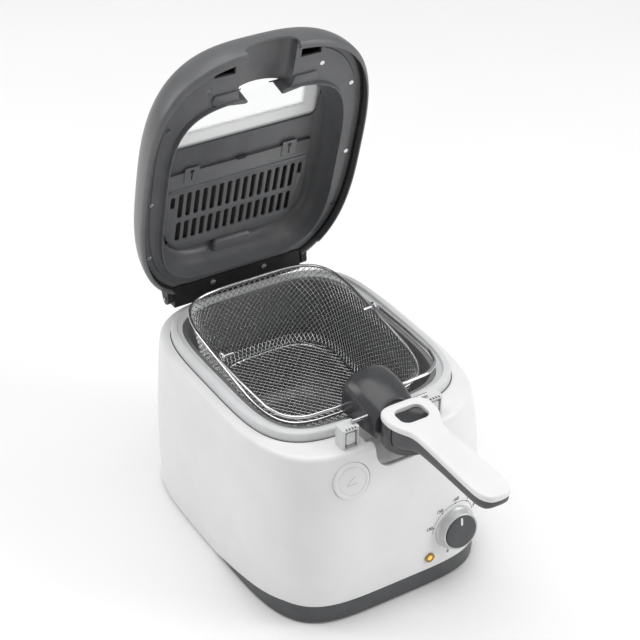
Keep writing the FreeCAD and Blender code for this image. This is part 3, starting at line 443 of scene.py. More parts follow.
# ============================================================ housing and base
BODY = [(3.0, 135.5, -213.0, 150.0, 4.4), (30.0, 137.0, -214.5, 149.5, 4.3), (70.0, 138.4, -215.0, 148.3, 4.2), (110.0, 138.8, -214.0, 146.5, 4.1),
        (150.0, 138.3, -211.3, 144.3, 3.95), (180.0, 137.4, -207.6, 142.5, 3.85), (200.0, 136.4, -203.4, 141.0, 3.75), (207.5, 135.4, -200.6, 139.8, 3.7)]
DECK = 211.0


def wall(z):
    return tuple(hermite(BODY, min(max(z, 3.0), 207.5)))


def wall_y(x, z):
    a, yf, yr, n = wall(z)
    y0, b = (yf + yr) / 2, (yr - yf) / 2
    return y0 - b * (1 - abs(x / a) ** n) ** (1 / n)


def wall_frame(x, z):
    """Point, right, up and outward normal on the front wall."""
    p = np.array([x, wall_y(x, z), z])
    dx = np.array([1.0, wall_y(x + .5, z) - wall_y(x - .5, z), 0.0])
    dz = np.array([0.0, wall_y(x, z + .5) - wall_y(x, z - .5), 1.0])
    dx /= np.linalg.norm(dx)
    n = np.cross(dx, dz)
    n /= np.linalg.norm(n)
    return p, dx, np.cross(n, dx), n


def lower_edge(y):
    slope = (26.0 - 5.8) / 115.0
    return np.clip(5.8 + slope * (-60.0 - y), 3.0, 26.0)


CN = 240
rings = []
for k in range(0, 41):
    z = 3.0 + 201.0 * k / 40
    a, yf, yr, n = wall(z)
    ring = sup(a, yf, yr, n, z, CN)
    if z < 70:
        zb = lower_edge(ring[:, 1])
        ring[:, 2] = zb + (z - 3.0) / 67.0 * (70.0 - zb)
    rings.append(ring)
a, yf, yr, n = wall(204.0)
for k in range(1, 9):
    t = math.radians(90 * k / 8)
    d = 6.2 * (1 - math.cos(t))
    rings.append(sup(a - d, yf + d, yr - d, n, 204.0 + 7.0 * math.sin(t), CN))
hole = (113.2, -157.0, 118.0, 4.3)
for w in (0.35, 0.7):
    s0 = inset((a, yf, yr, n), 6.2)
    rings.append(sup(*[s0[i] + (inset(hole, -0.0)[i] - s0[i]) * w for i in range(4)], DECK, CN))
rings.append(sup(*hole, DECK, CN))
rings.append(sup(*hole, DECK - 3, CN))
ia, iyf, iyr, inn = inset((a, yf, yr, n), 5.0)
rings.append(sup(ia, iyf, iyr, inn, DECK - 3, CN))
for k in range(40, -1, -4):
    z = 3.0 + 201.0 * k / 40
    s = inset(wall(z), 3.0)
    ring = sup(*s, z, CN)
    if z < 70:
        zb = lower_edge(ring[:, 1])
        ring[:, 2] = zb + (z - 3.0) / 67.0 * (70.0 - zb)
    rings.append(ring)
v, f = loft(rings, close_v=True)
housing = mesh_obj("housing_skin", v, f, "white")
# walls of the channel, then the channel and the notch themselves
chan_out = [(-36, 200), (-36, 190)] + [(-36 + 9 * (1 - math.cos(t)), 190 - 9.5 * math.sin(t)) for t in np.linspace(0.2, math.pi / 2, 6)] + \
           [(36 - 9 * (1 - math.cos(t)), 190 - 9.5 * math.sin(t)) for t in np.linspace(math.pi / 2, 0.2, 6)] + [(36, 190), (36, 200), (36, 208.6), (-36, 208.6)]
cut(housing, prism_y(chan_out[::-1], -200.0, -154.0), "UNION")


def u_shape(w, zb, r, top=260.0, seg=8):
    p = [(-w, top)]
    p += [(-w + r - r * math.cos(t), zb + r - r * math.sin(t)) for t in np.linspace(0, math.pi / 2, seg)]
    p += [(w - r + r * math.sin(t), zb + r - r * math.cos(t)) for t in np.linspace(0, math.pi / 2, seg)]
    p += [(w, top)]
    return p


cut(housing, prism_y(u_shape(33.0, 183.0, 8.0), -192.0, -156.5))
cut(housing, prism_y(u_shape(27.6, 183.6, 16.0, seg=14), -240.0, -190.0))
ang = np.linspace(0, 2 * math.pi, 72, endpoint=False)
BB, BYAW, BPITCH, BR = (-58.5, -206.6, 181.0), -4.0, 11.0, 20.6
ringp = np.stack([(BR + 0.45) * np.cos(ang), (BR + 0.45) * np.sin(ang)], 1)
vv, ff = prism_z([tuple(q) for q in ringp], -12.0, 30.0)
cut(housing, (out_of_front(vv, BB, BYAW, BPITCH), ff))
round_edges(housing, 1.1, 3, 42, 42)
use(housing, "base", SLOT["outer_housing"], "outer_housing")

# flat round seat behind the dial
DB, DP = (68.0, -213.8, 72.0), 5.9
seat = revolve("dial_seat", [(0.0, -13.0), (28.2, -13.0), (27.6, -3.0), (27.0, -0.8), (26.2, 0.0), (0.0, 0.0)], DB, 0, DP, "white")
use(seat, "base", SLOT["outer_housing"])

# collar round the pot: rounded lip with a step down to the pot
RO, RI = (123.4, -167.1, 121.0, 4.14), (108.7, -152.5, 113.5, 4.39)


def between(w):
    return tuple(RO[i] + (RI[i] - RO[i]) * w for i in range(4))


prof = [(0.0, 211.0), (0.0, 215.0), (0.02, 218.6), (0.08, 220.4), (0.18, 221.1), (0.42, 221.2), (0.50, 221.0), (0.55, 220.0), (0.58, 217.8), (0.66, 217.2),
        (0.90, 217.0), (0.97, 216.6), (1.0, 215.7), (0.75, 215.4), (0.75, 211.0)]
v, f = loft([sup(*between(w), z, CN) for w, z in prof], close_v=True)
ring = mesh_obj("collar_skin", v, f, "collar")
cut(ring, boxv(-33.0, 33.0, -190.0, -140.0, 200.0, 240.0))
round_edges(ring, 0.7, 2, 50, 40)
use(ring, "base", SLOT["rim_ring"], "rim_ring")

# painted shadow: a thin dark band on the deck at the collar's foot stands in for the shade line where the collar
# meets the deck
collar_shadow_band = mesh_obj("collar_painted_shadow", *loft([sup(*inset(RO, -0.9), DECK - 0.3, CN), sup(*inset(RO, -0.9), DECK + 0.12, CN), sup(*inset(RO, 2.0), DECK + 0.12, CN), sup(*inset(RO, 2.0), DECK - 0.3, CN)], close_v=True), "hbutton")
cut(collar_shadow_band, boxv(-36.0, 36.0, -190.0, -140.0, 200.0, 240.0))
use(collar_shadow_band, "base", SLOT["rim_ring"])

# ======================================================================= lid
LRIM = 212.6
LID = (134.0, -194.5, 139.5, 3.015)


def lid_sec(dz, ins=0.0):
    """Outline of the lid's outer skin at a height above its rim."""
    a, yf, yr, n = LID
    if dz <= 5.0:
        s = math.sin(max(dz, 0.0) / 5.0 * math.pi / 2)
        ox, oy = 1.9 * s, 5.8 * s
    else:
        q = math.asin(min(1.0, (dz - 5.0) / 53.0))
        i = 41.0 * (1 - math.cos(q))
        ox, oy = 1.9 - i, 5.8 - i
    return (a + ox - ins, yf - oy + ins, yr + oy - ins, n)


LN = 240
rings = []
for dz, ins in ((0.9, 2.5), (0.25, 2.0), (0.0, 1.25), (0.25, 0.5), (0.9, 0.1)):
    rings.append(sup(*lid_sec(dz, ins), LRIM + dz, LN))
for dz in list(np.linspace(1.8, 5.0, 4)):
    rings.append(sup(*lid_sec(dz), LRIM + dz, LN))
for q in np.linspace(0, 90, 25)[1:]:
    dz = 5.0 + 53.0 * math.sin(math.radians(q))
    rings.append(sup(*lid_sec(dz), LRIM + dz, LN))
base_top = lid_sec(58.0)
for w in (0.15, 0.35, 0.6, 0.85):
    a, yf, yr, n = base_top
    yc, b = (yf + yr) / 2, (yr - yf) / 2
    rings.append(sup(a * (1 - w), yc - b * (1 - w), yc + b * (1 - w), n, LRIM + 58.0 + 0.9 * (1 - (1 - w) ** 2), LN))
lid_solid = loft([sup(*lid_sec(0.0), LRIM, LN)] + rings[9:])
inner = []
for q in np.linspace(0, 90, 16):
    dz = 5.0 + 53.0 * math.sin(math.radians(q))
    inner.append(sup(*lid_sec(dz, 2.5), LRIM + dz - 2.5 * math.sin(math.radians(q)), LN))
rings = inner[::-1] + rings
v, f = loft(rings)
lid_skin = mesh_obj("lid_skin", lid_open(v), f, "lid")
cut(lid_skin, prism_y(arch_pts(30.5, 200.0, 221.0, 233.0)[::-1], -230.0, -150.0), turn=lid_open)
WIN = (-100.0, 100.0, -138.0, -56.0)
cut(lid_skin, prism_z(rrect(*WIN, 12.0), 262.0, 285.0), turn=lid_open)
for i in range(9):
    x = (i - 4) * 14.0
    cut(lid_skin, prism_z(rrect(x - 2.2, x + 2.2, 22.0, 62.0, 2.1, 5), 262.0, 285.0), turn=lid_open)
ROOM = [boxv(-104.0, 104.0, 110.0, 178.0, 190.0, 217.6), cyl_x(-84.0, 84.0, HY, HZ, 16.5), boxv(-84.0, 84.0, 124.0, 175.0, 195.0, HZ), boxv(-84.0, 84.0, HY, 175.0, 195.0, 239.6)]
for c in ROOM:
    cut(lid_skin, c, turn=lid_open)
round_edges(lid_skin, 0.7, 2, 45, 40)
use(lid_skin, "lid", SLOT["lid_shell"], "lid_shell")

# window frame set flush in the lid's top
bez = mesh_obj("window_frame", lid_open(prism_z(rrect(WIN[0] + .3, WIN[1] - .3, WIN[2] + .3, WIN[3] - .3, 11.6, 10), 256.0, 274.0)[0]), prism_z(rrect(WIN[0], WIN[1], WIN[2], WIN[3], 11.6, 10), 0, 1)[1], "dark")
cut(bez, prism_z(rrect(WIN[0] + 3.4, WIN[1] - 3.4, WIN[2] + 3.4, WIN[3] - 3.4, 8.6, 10), 240.0, 290.0), turn=lid_open)
cut(bez, lid_solid, "INTERSECT", turn=lid_open)
shade(bez, 38)
use(bez, "lid", SLOT["window_bezel"], "window_bezel")

FZ, PZ = 222.3, 250.0
OPN, PAN = (106.4, -137.0, 113.2, 4.0), (97.0, -128.0, 104.0, 4.0)


def mixsec(w):
    return tuple(OPN[i] + (PAN[i] - OPN[i]) * w for i in range(4))


fr = (134.0 + 1.9 - 3.5, -194.5 - 5.8 + 3.5, 139.5 + 5.8 - 3.5, 3.015)
prof = [(fr, 225.3), (fr, FZ), (inset(fr, 3.0), FZ), (inset(fr, 4.0), FZ + 0.9), (inset(fr, 9.0), FZ + 0.9), (inset(fr, 10.0), FZ), (inset(OPN, -4.0), FZ), (inset(OPN, -2.6), FZ - 0.4), (inset(OPN, -2.0), FZ - 1.6), (inset(OPN, -1.7), 218.2), (inset(OPN, -1.2), 217.1),
        (inset(OPN, -0.6), 216.8), (inset(OPN, 0.0), 217.2), (inset(OPN, 0.3), 218.4), (inset(OPN, 1.2), 229.0), (mixsec(0.5), 236.0), (mixsec(0.8), 243.0), (mixsec(0.95), 247.0), (inset(PAN, 1.2), 249.0), (inset(PAN, 3.5), 249.8), (inset(PAN, 6.0), PZ)]
rings = [sup(*s, z, LN) for s, z in prof]
for w in (0.4, 0.97):
    a, yf, yr, n = inset(PAN, 6.0)
    yc, b = (yf + yr) / 2, (yr - yf) / 2
    rings.append(sup(a * (1 - w), yc - b * (1 - w), yc + b * (1 - w), n, PZ, LN))
back = [(inset(PAN, -2.2), 245.0), (inset(OPN, -3.4), 226.5), (inset(OPN, -5.0), 225.3)]
for w in (0.97, 0.4, 0.0):
    a, yf, yr, n = inset(PAN, 3.0)
    yc, b = (yf + yr) / 2, (yr - yf) / 2
    rings.append(sup(a * (1 - w), yc - b * (1 - w), yc + b * (1 - w), n, PZ + 2.4, LN))
rings += [sup(*s, z, LN) for s, z in back]
v, f = loft(rings, close_v=True)
liner = mesh_obj("lid_liner_skin", lid_open(v), f, "liner")
cut(liner, prism_y(arch_pts(34.5, FZ, 228.0, 246.0)[::-1], -192.0, -136.2), "UNION", turn=lid_open)
cut(liner, prism_y(arch_pts(32.3, 190.0, 228.0, 243.8)[::-1], -230.0, -118.0), turn=lid_open)
win_in = rrect(-92.0, 92.0, -116.0, -58.0, 10.0)
cut(liner, prism_z(win_in, PZ - 3.0, PZ + 8.0), turn=lid_open)
cut(liner, boxv(-84.0, 84.0, 4.0, 80.0, PZ - 3.0, PZ + 8.0), turn=lid_open)
cut(liner, boxv(-36.0, 36.0, -133.5, -112.0, 241.5, 256.0), turn=lid_open)
for c in ROOM:
    cut(liner, c, turn=lid_open)
for sx in (-1, 1):
    x0, x1 = sorted((sx * 38.8, sx * 63.4))
    cut(liner, boxv(x0, x1, -194.6, -172.6, 212.0, 238.0), turn=lid_open)
circ = [(math.cos(2 * math.pi * i / 20), math.sin(2 * math.pi * i / 20)) for i in range(20)]
for x, y in [(sx * x, y) for x, y in ((67.5, -157.0), (110.7, -118.2), (122.0, -16.6), (118.1, 63.8)) for sx in (-1, 1)]:
    cut(liner, prism_z([(x + 3.0 * c, y + 3.0 * d) for c, d in circ], 214.0, FZ + 1.5), turn=lid_open)
round_edges(liner, 0.6, 2, 45, 38)
use(liner, "lid", SLOT["lid_inner_liner"], "lid_inner_liner", "lid_seal")

# painted shadow: a black band between the shell's rim and the frame stands in for the frame's shaded sidewall
frame_shadow_band = mesh_obj("frame_painted_shadow", *[lid_open(q) if k == 0 else q for k, q in enumerate(loft([sup(*inset(fr, 0.1), FZ - 0.35, LN), sup(*inset(fr, 3.4), FZ - 0.35, LN), sup(*inset(fr, 3.4), FZ + 0.3, LN), sup(*inset(fr, 0.1), FZ + 0.3, LN)], close_v=True))], "black")
for c in ROOM + [prism_y(arch_pts(34.0, 190.0, 228.0, 243.8)[::-1], -230.0, -118.0)] + [boxv(min(k * 38.8, k * 63.4), max(k * 38.8, k * 63.4), -196.0, -172.6, 212.0, 238.0) for k in (-1, 1)]:
    cut(frame_shadow_band, c, turn=lid_open)
use(frame_shadow_band, "lid", SLOT["lid_inner_liner"])

# catches for the latch, with their ribs
for sx in (-1, 1):
    for i in range(5):
        x = sx * 51.0 + (i - 2) * 4.4
        rib = mesh_obj("catch_rib", lid_open(boxv(x - 1.1, x + 1.1, -194.0, -191.9, 215.6, 227.0)[0]), boxv(0, 1, 0, 1, 0, 1)[1], "liner", smooth=False)
        use(rib, "lid", SLOT["lid_inner_liner"])
    back = mesh_obj("catch_back", lid_open(boxv(sx * 51.0 - 10.4, sx * 51.0 + 10.4, -188.4, -172.8, 236.4, 237.9)[0]), boxv(0, 1, 0, 1, 0, 1)[1], "liner", smooth=False)
    use(back, "lid", SLOT["lid_inner_liner"])
    # lobe where the collar runs into the cavity
    lobe = [(sx * x, y) for x, y in ((61.0, -150.0), (63.0, -145.0), (62.5, -140.0), (58.5, -136.2), (49.0, -134.0), (24.0, -130.0), (20.6, -130.4), (20.0, -132.6), (23.5, -135.2), (31.2, -136.8), (34.0, -150.0))]
    lv, lf = prism_z(lobe if sx < 0 else lobe[::-1], 219.5, 239.0)
    lo = mesh_obj("collar_lobe", lid_open(lv), lf, "liner")
    round_edges(lo, 1.6, 3, 40, 40)
    use(lo, "lid", SLOT["lid_inner_liner"])

# filter cover: two rows of slots, ridge, clips, tab and finger lug
FB, FT = PZ - 2.8, PZ - 0.3
pa, pf, pr, pn = inset(PAN, 4.5)
half = [(x, y) for x, y, _ in sup(pa, pf, pr, pn, 0.0, 400) if -26.0 < y < 92.0]
fo = [(min(x, 89.0), y) for x, y in sorted([q for q in half if q[0] > 0], key=lambda q: q[1])]
fo = [(fo[0][0], -26.0)] + fo + [(fo[-1][0], 92.0)]
fo = fo + [(-x, y) for x, y in reversed(fo)]
fv, ff = prism_z(fo, FB, FT)
cover_f = mesh_obj("filter_cover_skin", lid_open(fv), ff, "panel")
cut(cover_f, prism_z(rrect(-86.0, 86.0, -3.4, 0.4, 1.2, 4), FB - 1.5, FB + 1.0), "UNION", turn=lid_open)
for i in range(17):
    x = (i - 8) * 10.1
    rows = ((8.0, 25.0, 2.7),) if i in (0, 16) else ((6.0, 42.0, 2.9), (48.5, 77.5, 2.9))
    for y0, y1, w in rows:
        cut(cover_f, prism_z(rrect(x - w, x + w, y0, y1, 2.4, 5), FB - 8.0, FT + 3.0), turn=lid_open)
round_edges(cover_f, 0.45, 2, 45, 38)
use(cover_f, "lid", SLOT["filter_cover"], "filter_cover")
lug = mesh_obj("filter_lug", lid_open(prism_z(rrect(-24.0, 24.0, 91.0, 108.0, 5.0, 6), 241.0, FB + 0.4)[0]), prism_z(rrect(-24.0, 24.0, 91.0, 108.0, 5.0, 6), 0, 1)[1], "panel")
round_edges(lug, 2.6, 4, 50, 40)
use(lug, "lid", SLOT["filter_cover"])


def lid_bit(name, pts, z0, z1, mat, slot):
    v, f = prism_z(pts, z0, z1)
    return use(mesh_obj(name, lid_open(v), f, mat, smooth=False), "lid", slot)


for sx in (-1, 1):
    lid_bit("clip_plate", rrect(sx * 61.0 - 9.0, sx * 61.0 + 9.0, -31.0, -10.0, 1.5, 3), FB - 0.7, FB + 0.2, "panel", SLOT["filter_cover"])
    # painted shade: a black disc and slit stand in for the shaded opening of each clip's keyhole
    lid_bit("clip_eye_painted_shade", [(sx * 61.0 + 2.5 * c, -25.5 + 2.5 * d) for c, d in circ], FB - 0.9, FB - 0.5, "black", SLOT["filter_cover"])
    lid_bit("clip_slit_painted_shade", rrect(sx * 61.0 - 0.8, sx * 61.0 + 0.8, -25.0, -13.0, 0.7, 3), FB - 0.9, FB - 0.5, "black", SLOT["filter_cover"])
lid_bit("centre_tab", [(-7.0, -28.5), (7.0, -28.5), (5.0, -24.0), (-5.0, -24.0)], FB - 0.8, FB + 0.2, "black", SLOT["filter_cover"])
lid_bit("seam_line", rrect(-88.0, 88.0, -26.6, -25.4, 0.5, 3), FB - 0.15, FB + 0.3, "black", SLOT["filter_cover"])

# ==================================================================== basket
TILT = math.radians(8.0)
RIM, FLOOR, DEPTH = (98.4, 118.0, 4.7), (84.0, 93.0, 4.2), 82.0


def tilt(p):
    p = np.asarray(p, float)
    out = p.copy()
    out[..., 1] = p[..., 1] * math.cos(TILT) - p[..., 2] * math.sin(TILT) - 10.5
    out[..., 2] = p[..., 1] * math.sin(TILT) + p[..., 2] * math.cos(TILT) + 221.2
    return out


def bsec(k, grow=0.0):
    return (RIM[0] + (FLOOR[0] - RIM[0]) * k + grow, RIM[1] + (FLOOR[1] - RIM[1]) * k + grow, RIM[2] + (FLOOR[2] - RIM[2]) * k)


PROFILE = [(0.02, -0.6), (0.5, -41.0), (0.92, -68.0), (1.08, -77.0), (1.45, -81.6)]
pk = np.array(PROFILE)
plen = np.concatenate([[0], np.cumsum([math.hypot((pk[i + 1, 0] - pk[i, 0]) * 20.0, pk[i + 1, 1] - pk[i, 1]) for i in range(len(pk) - 1)])])


def outline_table(count=720):
    """Rim outline by equal arc length: angle and position."""
    q = sup(RIM[0], -RIM[1], RIM[1], RIM[2], 0.0, 4000)[:, :2]
    d = np.concatenate([[0], np.cumsum(np.linalg.norm(np.diff(np.concatenate([q, q[:1]]), axis=0), axis=1))])
    th = np.linspace(0, 2 * math.pi, 4001)
    return d[-1], lambda s: np.interp(np.mod(s, d[-1]), d, th)


PERIM, angle_at = outline_table()


def on_basket(s, w, out=0.0):
    """Point on the basket wall: s along the rim, w down the profile."""
    k = np.interp(w, plen, pk[:, 0])
    z = np.interp(w, plen, pk[:, 1])
    th = angle_at(s)
    c, sn = np.cos(th), np.sin(th)
    a, b, n = RIM[0] + (FLOOR[0] - RIM[0]) * k + out, RIM[1] + (FLOOR[1] - RIM[1]) * k + out, RIM[2] + (FLOOR[2] - RIM[2]) * k
    r = (np.abs(c / a) ** n + np.abs(sn / b) ** n) ** (-1.0 / n)
    return np.stack([r * c, r * sn, z], -1)


def wires(paths, r, sides=5):
    """Many thin wires as one skin."""
    V, F, base = [], [], 0
    ang = np.linspace(0, 2 * math.pi, sides, endpoint=False)
    for p in paths:
        t = np.gradient(p, axis=0)
        t /= np.linalg.norm(t, axis=1)[:, None]
        ref = np.array([0.0, 0.0, 1.0]) if abs(t[0][2]) < 0.8 else np.array([1.0, 0.0, 0.0])
        u = np.cross(t, ref)
        u /= np.linalg.norm(u, axis=1)[:, None]
        w = np.cross(t, u)
        n = len(p)
        ringv = p[:, None, :] + r * (np.cos(ang)[None, :, None] * u[:, None, :] + np.sin(ang)[None, :, None] * w[:, None, :])
        V.append(ringv.reshape(-1, 3))
        for i in range(n - 1):
            for j in range(sides):
                j2 = (j + 1) % sides
                F.append((base + i * sides + j, base + i * sides + j2, base + (i + 1) * sides + j2, base + (i + 1) * sides + j))
        base += n * sides
    return np.concatenate(V), F


PITCH, WR = 5.0, 0.42
paths = []
W_END = plen[-1]
count = int(round(PERIM / (PITCH * math.sqrt(2))))
step = PERIM / count
half = PITCH / math.sqrt(2) / 2
for fam in (1, -1):
    for i in range(count):
        w = np.arange(0.0, W_END + 0.01, W_END / int(W_END / (half)))
        s = i * step + fam * w
        sign = np.where((np.round(w / half).astype(int)) % 2 == 0, 1, -1) * fam * 0.36
        paths.append(on_basket(s, w, sign))
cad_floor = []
fa, fb, fn = bsec(1.45)
for fam in (1, -1):
    m = int((fa + fb) / (PITCH * math.sqrt(2) / 2)) + 2
    for i in range(-m, m + 1):
        c0 = i * PITCH * math.sqrt(2)
        t = np.arange(-260.0, 260.0, half)
        x = t
        y = fam * t + c0
        ok = (np.abs(x / fa) ** fn + np.abs(y / fb) ** fn) < 1.0
        if ok.sum() > 3:
            x, y = x[ok], y[ok]
            z = -81.6 + 0.36 * fam * np.where(np.arange(len(x)) % 2 == 0, 1, -1)
            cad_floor.append(np.stack([x, y, z], 1))
v, f = wires(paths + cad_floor, WR)
mesh = mesh_obj("woven_mesh", tilt(v), f, None, smooth=False)
mesh.data.materials.append(MAT["chrome"])
mesh.data.polygons.foreach_set("use_smooth", [True] * len(mesh.data.polygons))
use(mesh, "basket", SLOT["basket_mesh"], "basket_mesh")

rim = tube("basket_rim", tilt(resample(sup(RIM[0], -RIM[1], RIM[1], RIM[2], 0.0, 400), 5.0, True)), 1.8, "chrome", closed=True, sides=14)
use(rim, "basket", SLOT["basket_rim_wire"], "basket_rim_wire")
foot = tube("basket_foot", tilt(resample(sup(72.0, -81.0, 81.0, 3.6, -83.9, 300), 6.0, True)), 1.5, "chrome", closed=True, sides=10)
use(foot, "basket", SLOT["basket_foot_wire"], "basket_foot_wire")

PV = (-4.0, 229.0)
fork_half = [(-83.0, PV[0], PV[1]), (-98.8, PV[0], PV[1]), (-101.0, PV[0] - 3.2, PV[1]), (-101.6, -60.0, PV[1]), (-100.5, -110.0, PV[1]), (-94.0, -132.0, PV[1]), (-76.0, -144.0, PV[1]), (-44.0, -146.0, PV[1])]
fork_pts = fork_half + [(-x, y, z) for x, y, z in reversed(fork_half)]
fork = tube("fork_wire", rounded(fork_pts, 30.0), 2.0, "chrome", sides=14)
use(fork, "handle", SLOT["handle_fork"], "handle_fork")

# ==================================================================== handle
def arch_ring(y, w, zb, zs, top, r=3.0, seg=40):
    e = 2.0 / 2.5
    p = [(math.copysign(w * abs(math.cos(math.pi * i / seg)) ** e, math.cos(math.pi * i / seg)), zs + (top - zs) * abs(math.sin(math.pi * i / seg)) ** e) for i in range(seg + 1)]
    side = [(-w, zs + (zb + r - zs) * k / 4) for k in range(1, 5)]
    cor = [(-w + r - r * math.cos(t), zb + r - r * math.sin(t)) for t in np.linspace(0, math.pi / 2, 6)[1:]]
    bot = [(-w + r + (2 * w - 2 * r) * k / 10, zb) for k in range(1, 10)]
    left = p + side + cor
    right = [(-x, z) for x, z in reversed(side + cor)]
    return np.array([(x, y, z) for x, z in left + bot + right])


hub_st = [(-137.0, 26.6, 217.2, 233.0, 256.6), (-137.3, 28.0, 216.4, 234.2, 258.4), (-138.2, 29.2, 215.9, 235.2, 259.8), (-140.0, 29.9, 215.8, 235.8, 260.7), (-146.0, 30.0, 215.8, 236.0, 260.9), (-153.0, 30.0, 215.8, 236.0, 261.0),
          (-164.0, 29.8, 215.8, 235.0, 260.0), (-176.0, 29.0, 215.8, 233.0, 257.0), (-186.0, 27.6, 215.8, 230.5, 252.5), (-195.9, 26.0, 215.8, 228.0, 247.4)]
v, f = loft([arch_ring(*s) for s in hub_st])
hub = mesh_obj("hub_skin", v, f, "gloss")
seg = 72
dr = [(26.75 * math.cos(2 * math.pi * i / seg), -216.7 + 26.75 * math.sin(2 * math.pi * i / seg)) for i in range(seg)]
cut(hub, prism_z(dr, 190.0, 300.0))
round_edges(hub, 0.5, 2, 50, 45)
use(hub, "handle", SLOT["handle_hub"], "handle_hub")


def plate_outline(g, count=220):
    half = [(0.0, -199.6 + g), (14.0, -199.9 + g), (22.5 + g * .5, -202.6 + g * .8), (27.6 + g, -209.5 + g * .3), (28.9 + g, -220.0), (27.4 + g, -231.0), (23.2 + g, -241.0), (18.9 + g, -250.0),
            (17.3 + g, -262.0), (17.4 + g, -285.0), (18.0 + g, -315.0), (18.4 + g, -345.0), (17.4 + g, -361.0 - g * .3), (12.4 + g * .6, -370.6 - g * .8), (5.0, -373.6 - g)]
    p = np.array(half + [(-x, y) for x, y in reversed(half[1:])])
    n = len(p)
    out = []
    for i in range(n):
        p0, p1, p2, p3 = p[i - 1], p[i], p[(i + 1) % n], p[(i + 2) % n]
        for k in range(8):
            t = k / 8
            out.append(0.5 * ((2 * p1) + (-p0 + p2) * t + (2 * p0 - 5 * p1 + 4 * p2 - p3) * t * t + (-p0 + 3 * p1 - 3 * p2 + p3) * t**3))
    return resample(np.array(out), 2.2, True)


def offset(p, d):
    """Outline moved inwards by d along its normals."""
    t = np.roll(p, -1, 0) - np.roll(p, 1, 0)
    t /= np.linalg.norm(t, axis=1)[:, None]
    nrm = np.stack([-t[:, 1], t[:, 0]], 1)
    area = 0.5 * np.sum(p[:, 0] * np.roll(p[:, 1], -1) - np.roll(p[:, 0], -1) * p[:, 1])
    return p + nrm * d * (1 if area > 0 else -1)


po = plate_outline(0.0)


def ring_at(d, z):
    q = offset(po, d)
    return np.concatenate([q, np.full((len(q), 1), z)], 1)


rings = [ring_at(1.2, 248.0), ring_at(0.3, 248.4), ring_at(0.0, 249.2), ring_at(0.0, 252.2), ring_at(0.25, 253.4), ring_at(0.8, 254.2), ring_at(1.7, 254.7), ring_at(3.2, 254.95), ring_at(6.0, 255.0)]
v, f = loft(rings)
cover = mesh_obj("handle_cover_skin", v, f, "white")
AP = (-16.4, 16.4, -235.6, -210.4)
cut(cover, prism_z(rrect(*AP, 9.0, 10), 235.0, 275.0))
round_edges(cover, 0.9, 3, 50, 40)
use(cover, "handle", SLOT["handle_cover"], "handle_cover")


def under(y):
    return float(np.interp(-y, [236, 256, 300, 352, 366, 372.8], [226.0, 231.5, 234.0, 235.5, 236.6, 240.5]))


rings = []
for d, s in ((0.0, 0.0), (0.0, 0.45), (0.5, 0.72), (1.8, 0.9), (4.2, 1.0)):
    qq = offset(po, 1.0 + d)
    qq[:, 1] = np.minimum(qq[:, 1], -228.0)
    zb = np.array([under(y) for y in qq[:, 1]])
    rings.append(np.concatenate([qq, (247.8 + (zb - 247.8) * s)[:, None]], 1))
v, f = loft(rings)
grip = mesh_obj("lower_grip_skin", v, f, "dark")
shade(grip, 50)
ang = np.linspace(0, 2 * math.pi, 96, endpoint=False)
dprof = [(22.5, 216.0), (25.0, 216.3), (26.2, 217.2), (26.6, 218.6), (26.6, 247.8)]
v, f = loft([np.stack([r * np.cos(ang), -216.7 + r * np.sin(ang), np.full(96, z)], 1) for r, z in dprof])
drum = mesh_obj("drum_skin", v, f, "gloss")
cut(drum, prism_z(rrect(AP[0] + .2, AP[1] - .2, AP[2] + .2, AP[3] - .2, 8.8, 10), 219.0, 275.0))
cut(grip, prism_z(rrect(AP[0] + .2, AP[1] - .2, AP[2] + .2, AP[3] - .2, 8.8, 10), 219.0, 275.0))
shade(drum, 40)
use(grip, "handle", SLOT["handle_lower_grip"], "handle_lower_grip")
use(drum, "handle", SLOT["handle_lower_grip"])

# latch bolts; a black plate behind each paints the shade in the slot round the bolt
for sx in (-1, 1):
    x = sx * 51.0
    b = mesh_obj("bolt_skin", *prism_y(rrect(x - 5.4, x + 5.4, 215.2, 229.6, 1.6, 5), -191.0, -186.6), "collar")
    round_edges(b, 0.7, 2, 50, 40)
    use(b, "latch_slide", SLOT["latch_bolts"], *(["latch_bolts"] if sx < 0 else []))
    use(mesh_obj("bolt_painted_shade_plate", *boxv(x - 7.1, x + 7.1, -182.6, -181.7, 211.4, 231.9), "black", smooth=False), "base", SLOT["latch_posts"])
    # painted shadow: black ribs on the post's top edge stand in for the shadows the ribs cast
    for i in range(4):
        xx = x + (i - 1.5) * 3.4
        use(mesh_obj("post_rib_painted_shadow", *boxv(xx - 0.75, xx + 0.75, -191.9, -189.4, 234.4, 234.9), "black", smooth=False), "base", SLOT["latch_posts"])

# ====================================================== dial, scale and button
dial = revolve("dial_skirt_skin", [(19.6, 8.0), (19.6, 12.3), (20.2, 12.6), (21.2, 12.6), (21.8, 12.2), (22.1, 11.4), (22.7, 3.9), (23.3, 3.2), (24.4, 2.7), (24.9, 2.1), (25.0, 1.2), (24.6, 0.4), (19.0, 0.4)], DB, 0, DP, "silver")
use(dial, "dial", SLOT["dial_skirt"], "dial_skirt")
capm = revolve("dial_cap_skin", [(19.4, 8.0), (19.4, 12.8), (19.1, 13.5), (18.5, 13.9), (17.5, 14.05), (8.0, 14.3), (0.001, 14.35)], DB, 0, DP, "dark")
ptrv, ptrf = prism_z(rrect(-1.25, 1.25, 9.4, 18.6, 1.2, 5), 13.4, 15.2)
cut(capm, (out_of_front(ptrv, DB, 0, DP), ptrf))
shade(capm, 30)
use(capm, "dial", SLOT["dial_cap"], "dial_cap")


def on_wall(x, z, lift=0.12):
    p, r, u, n = wall_frame(x, z)
    return p + n * lift, r, u, n


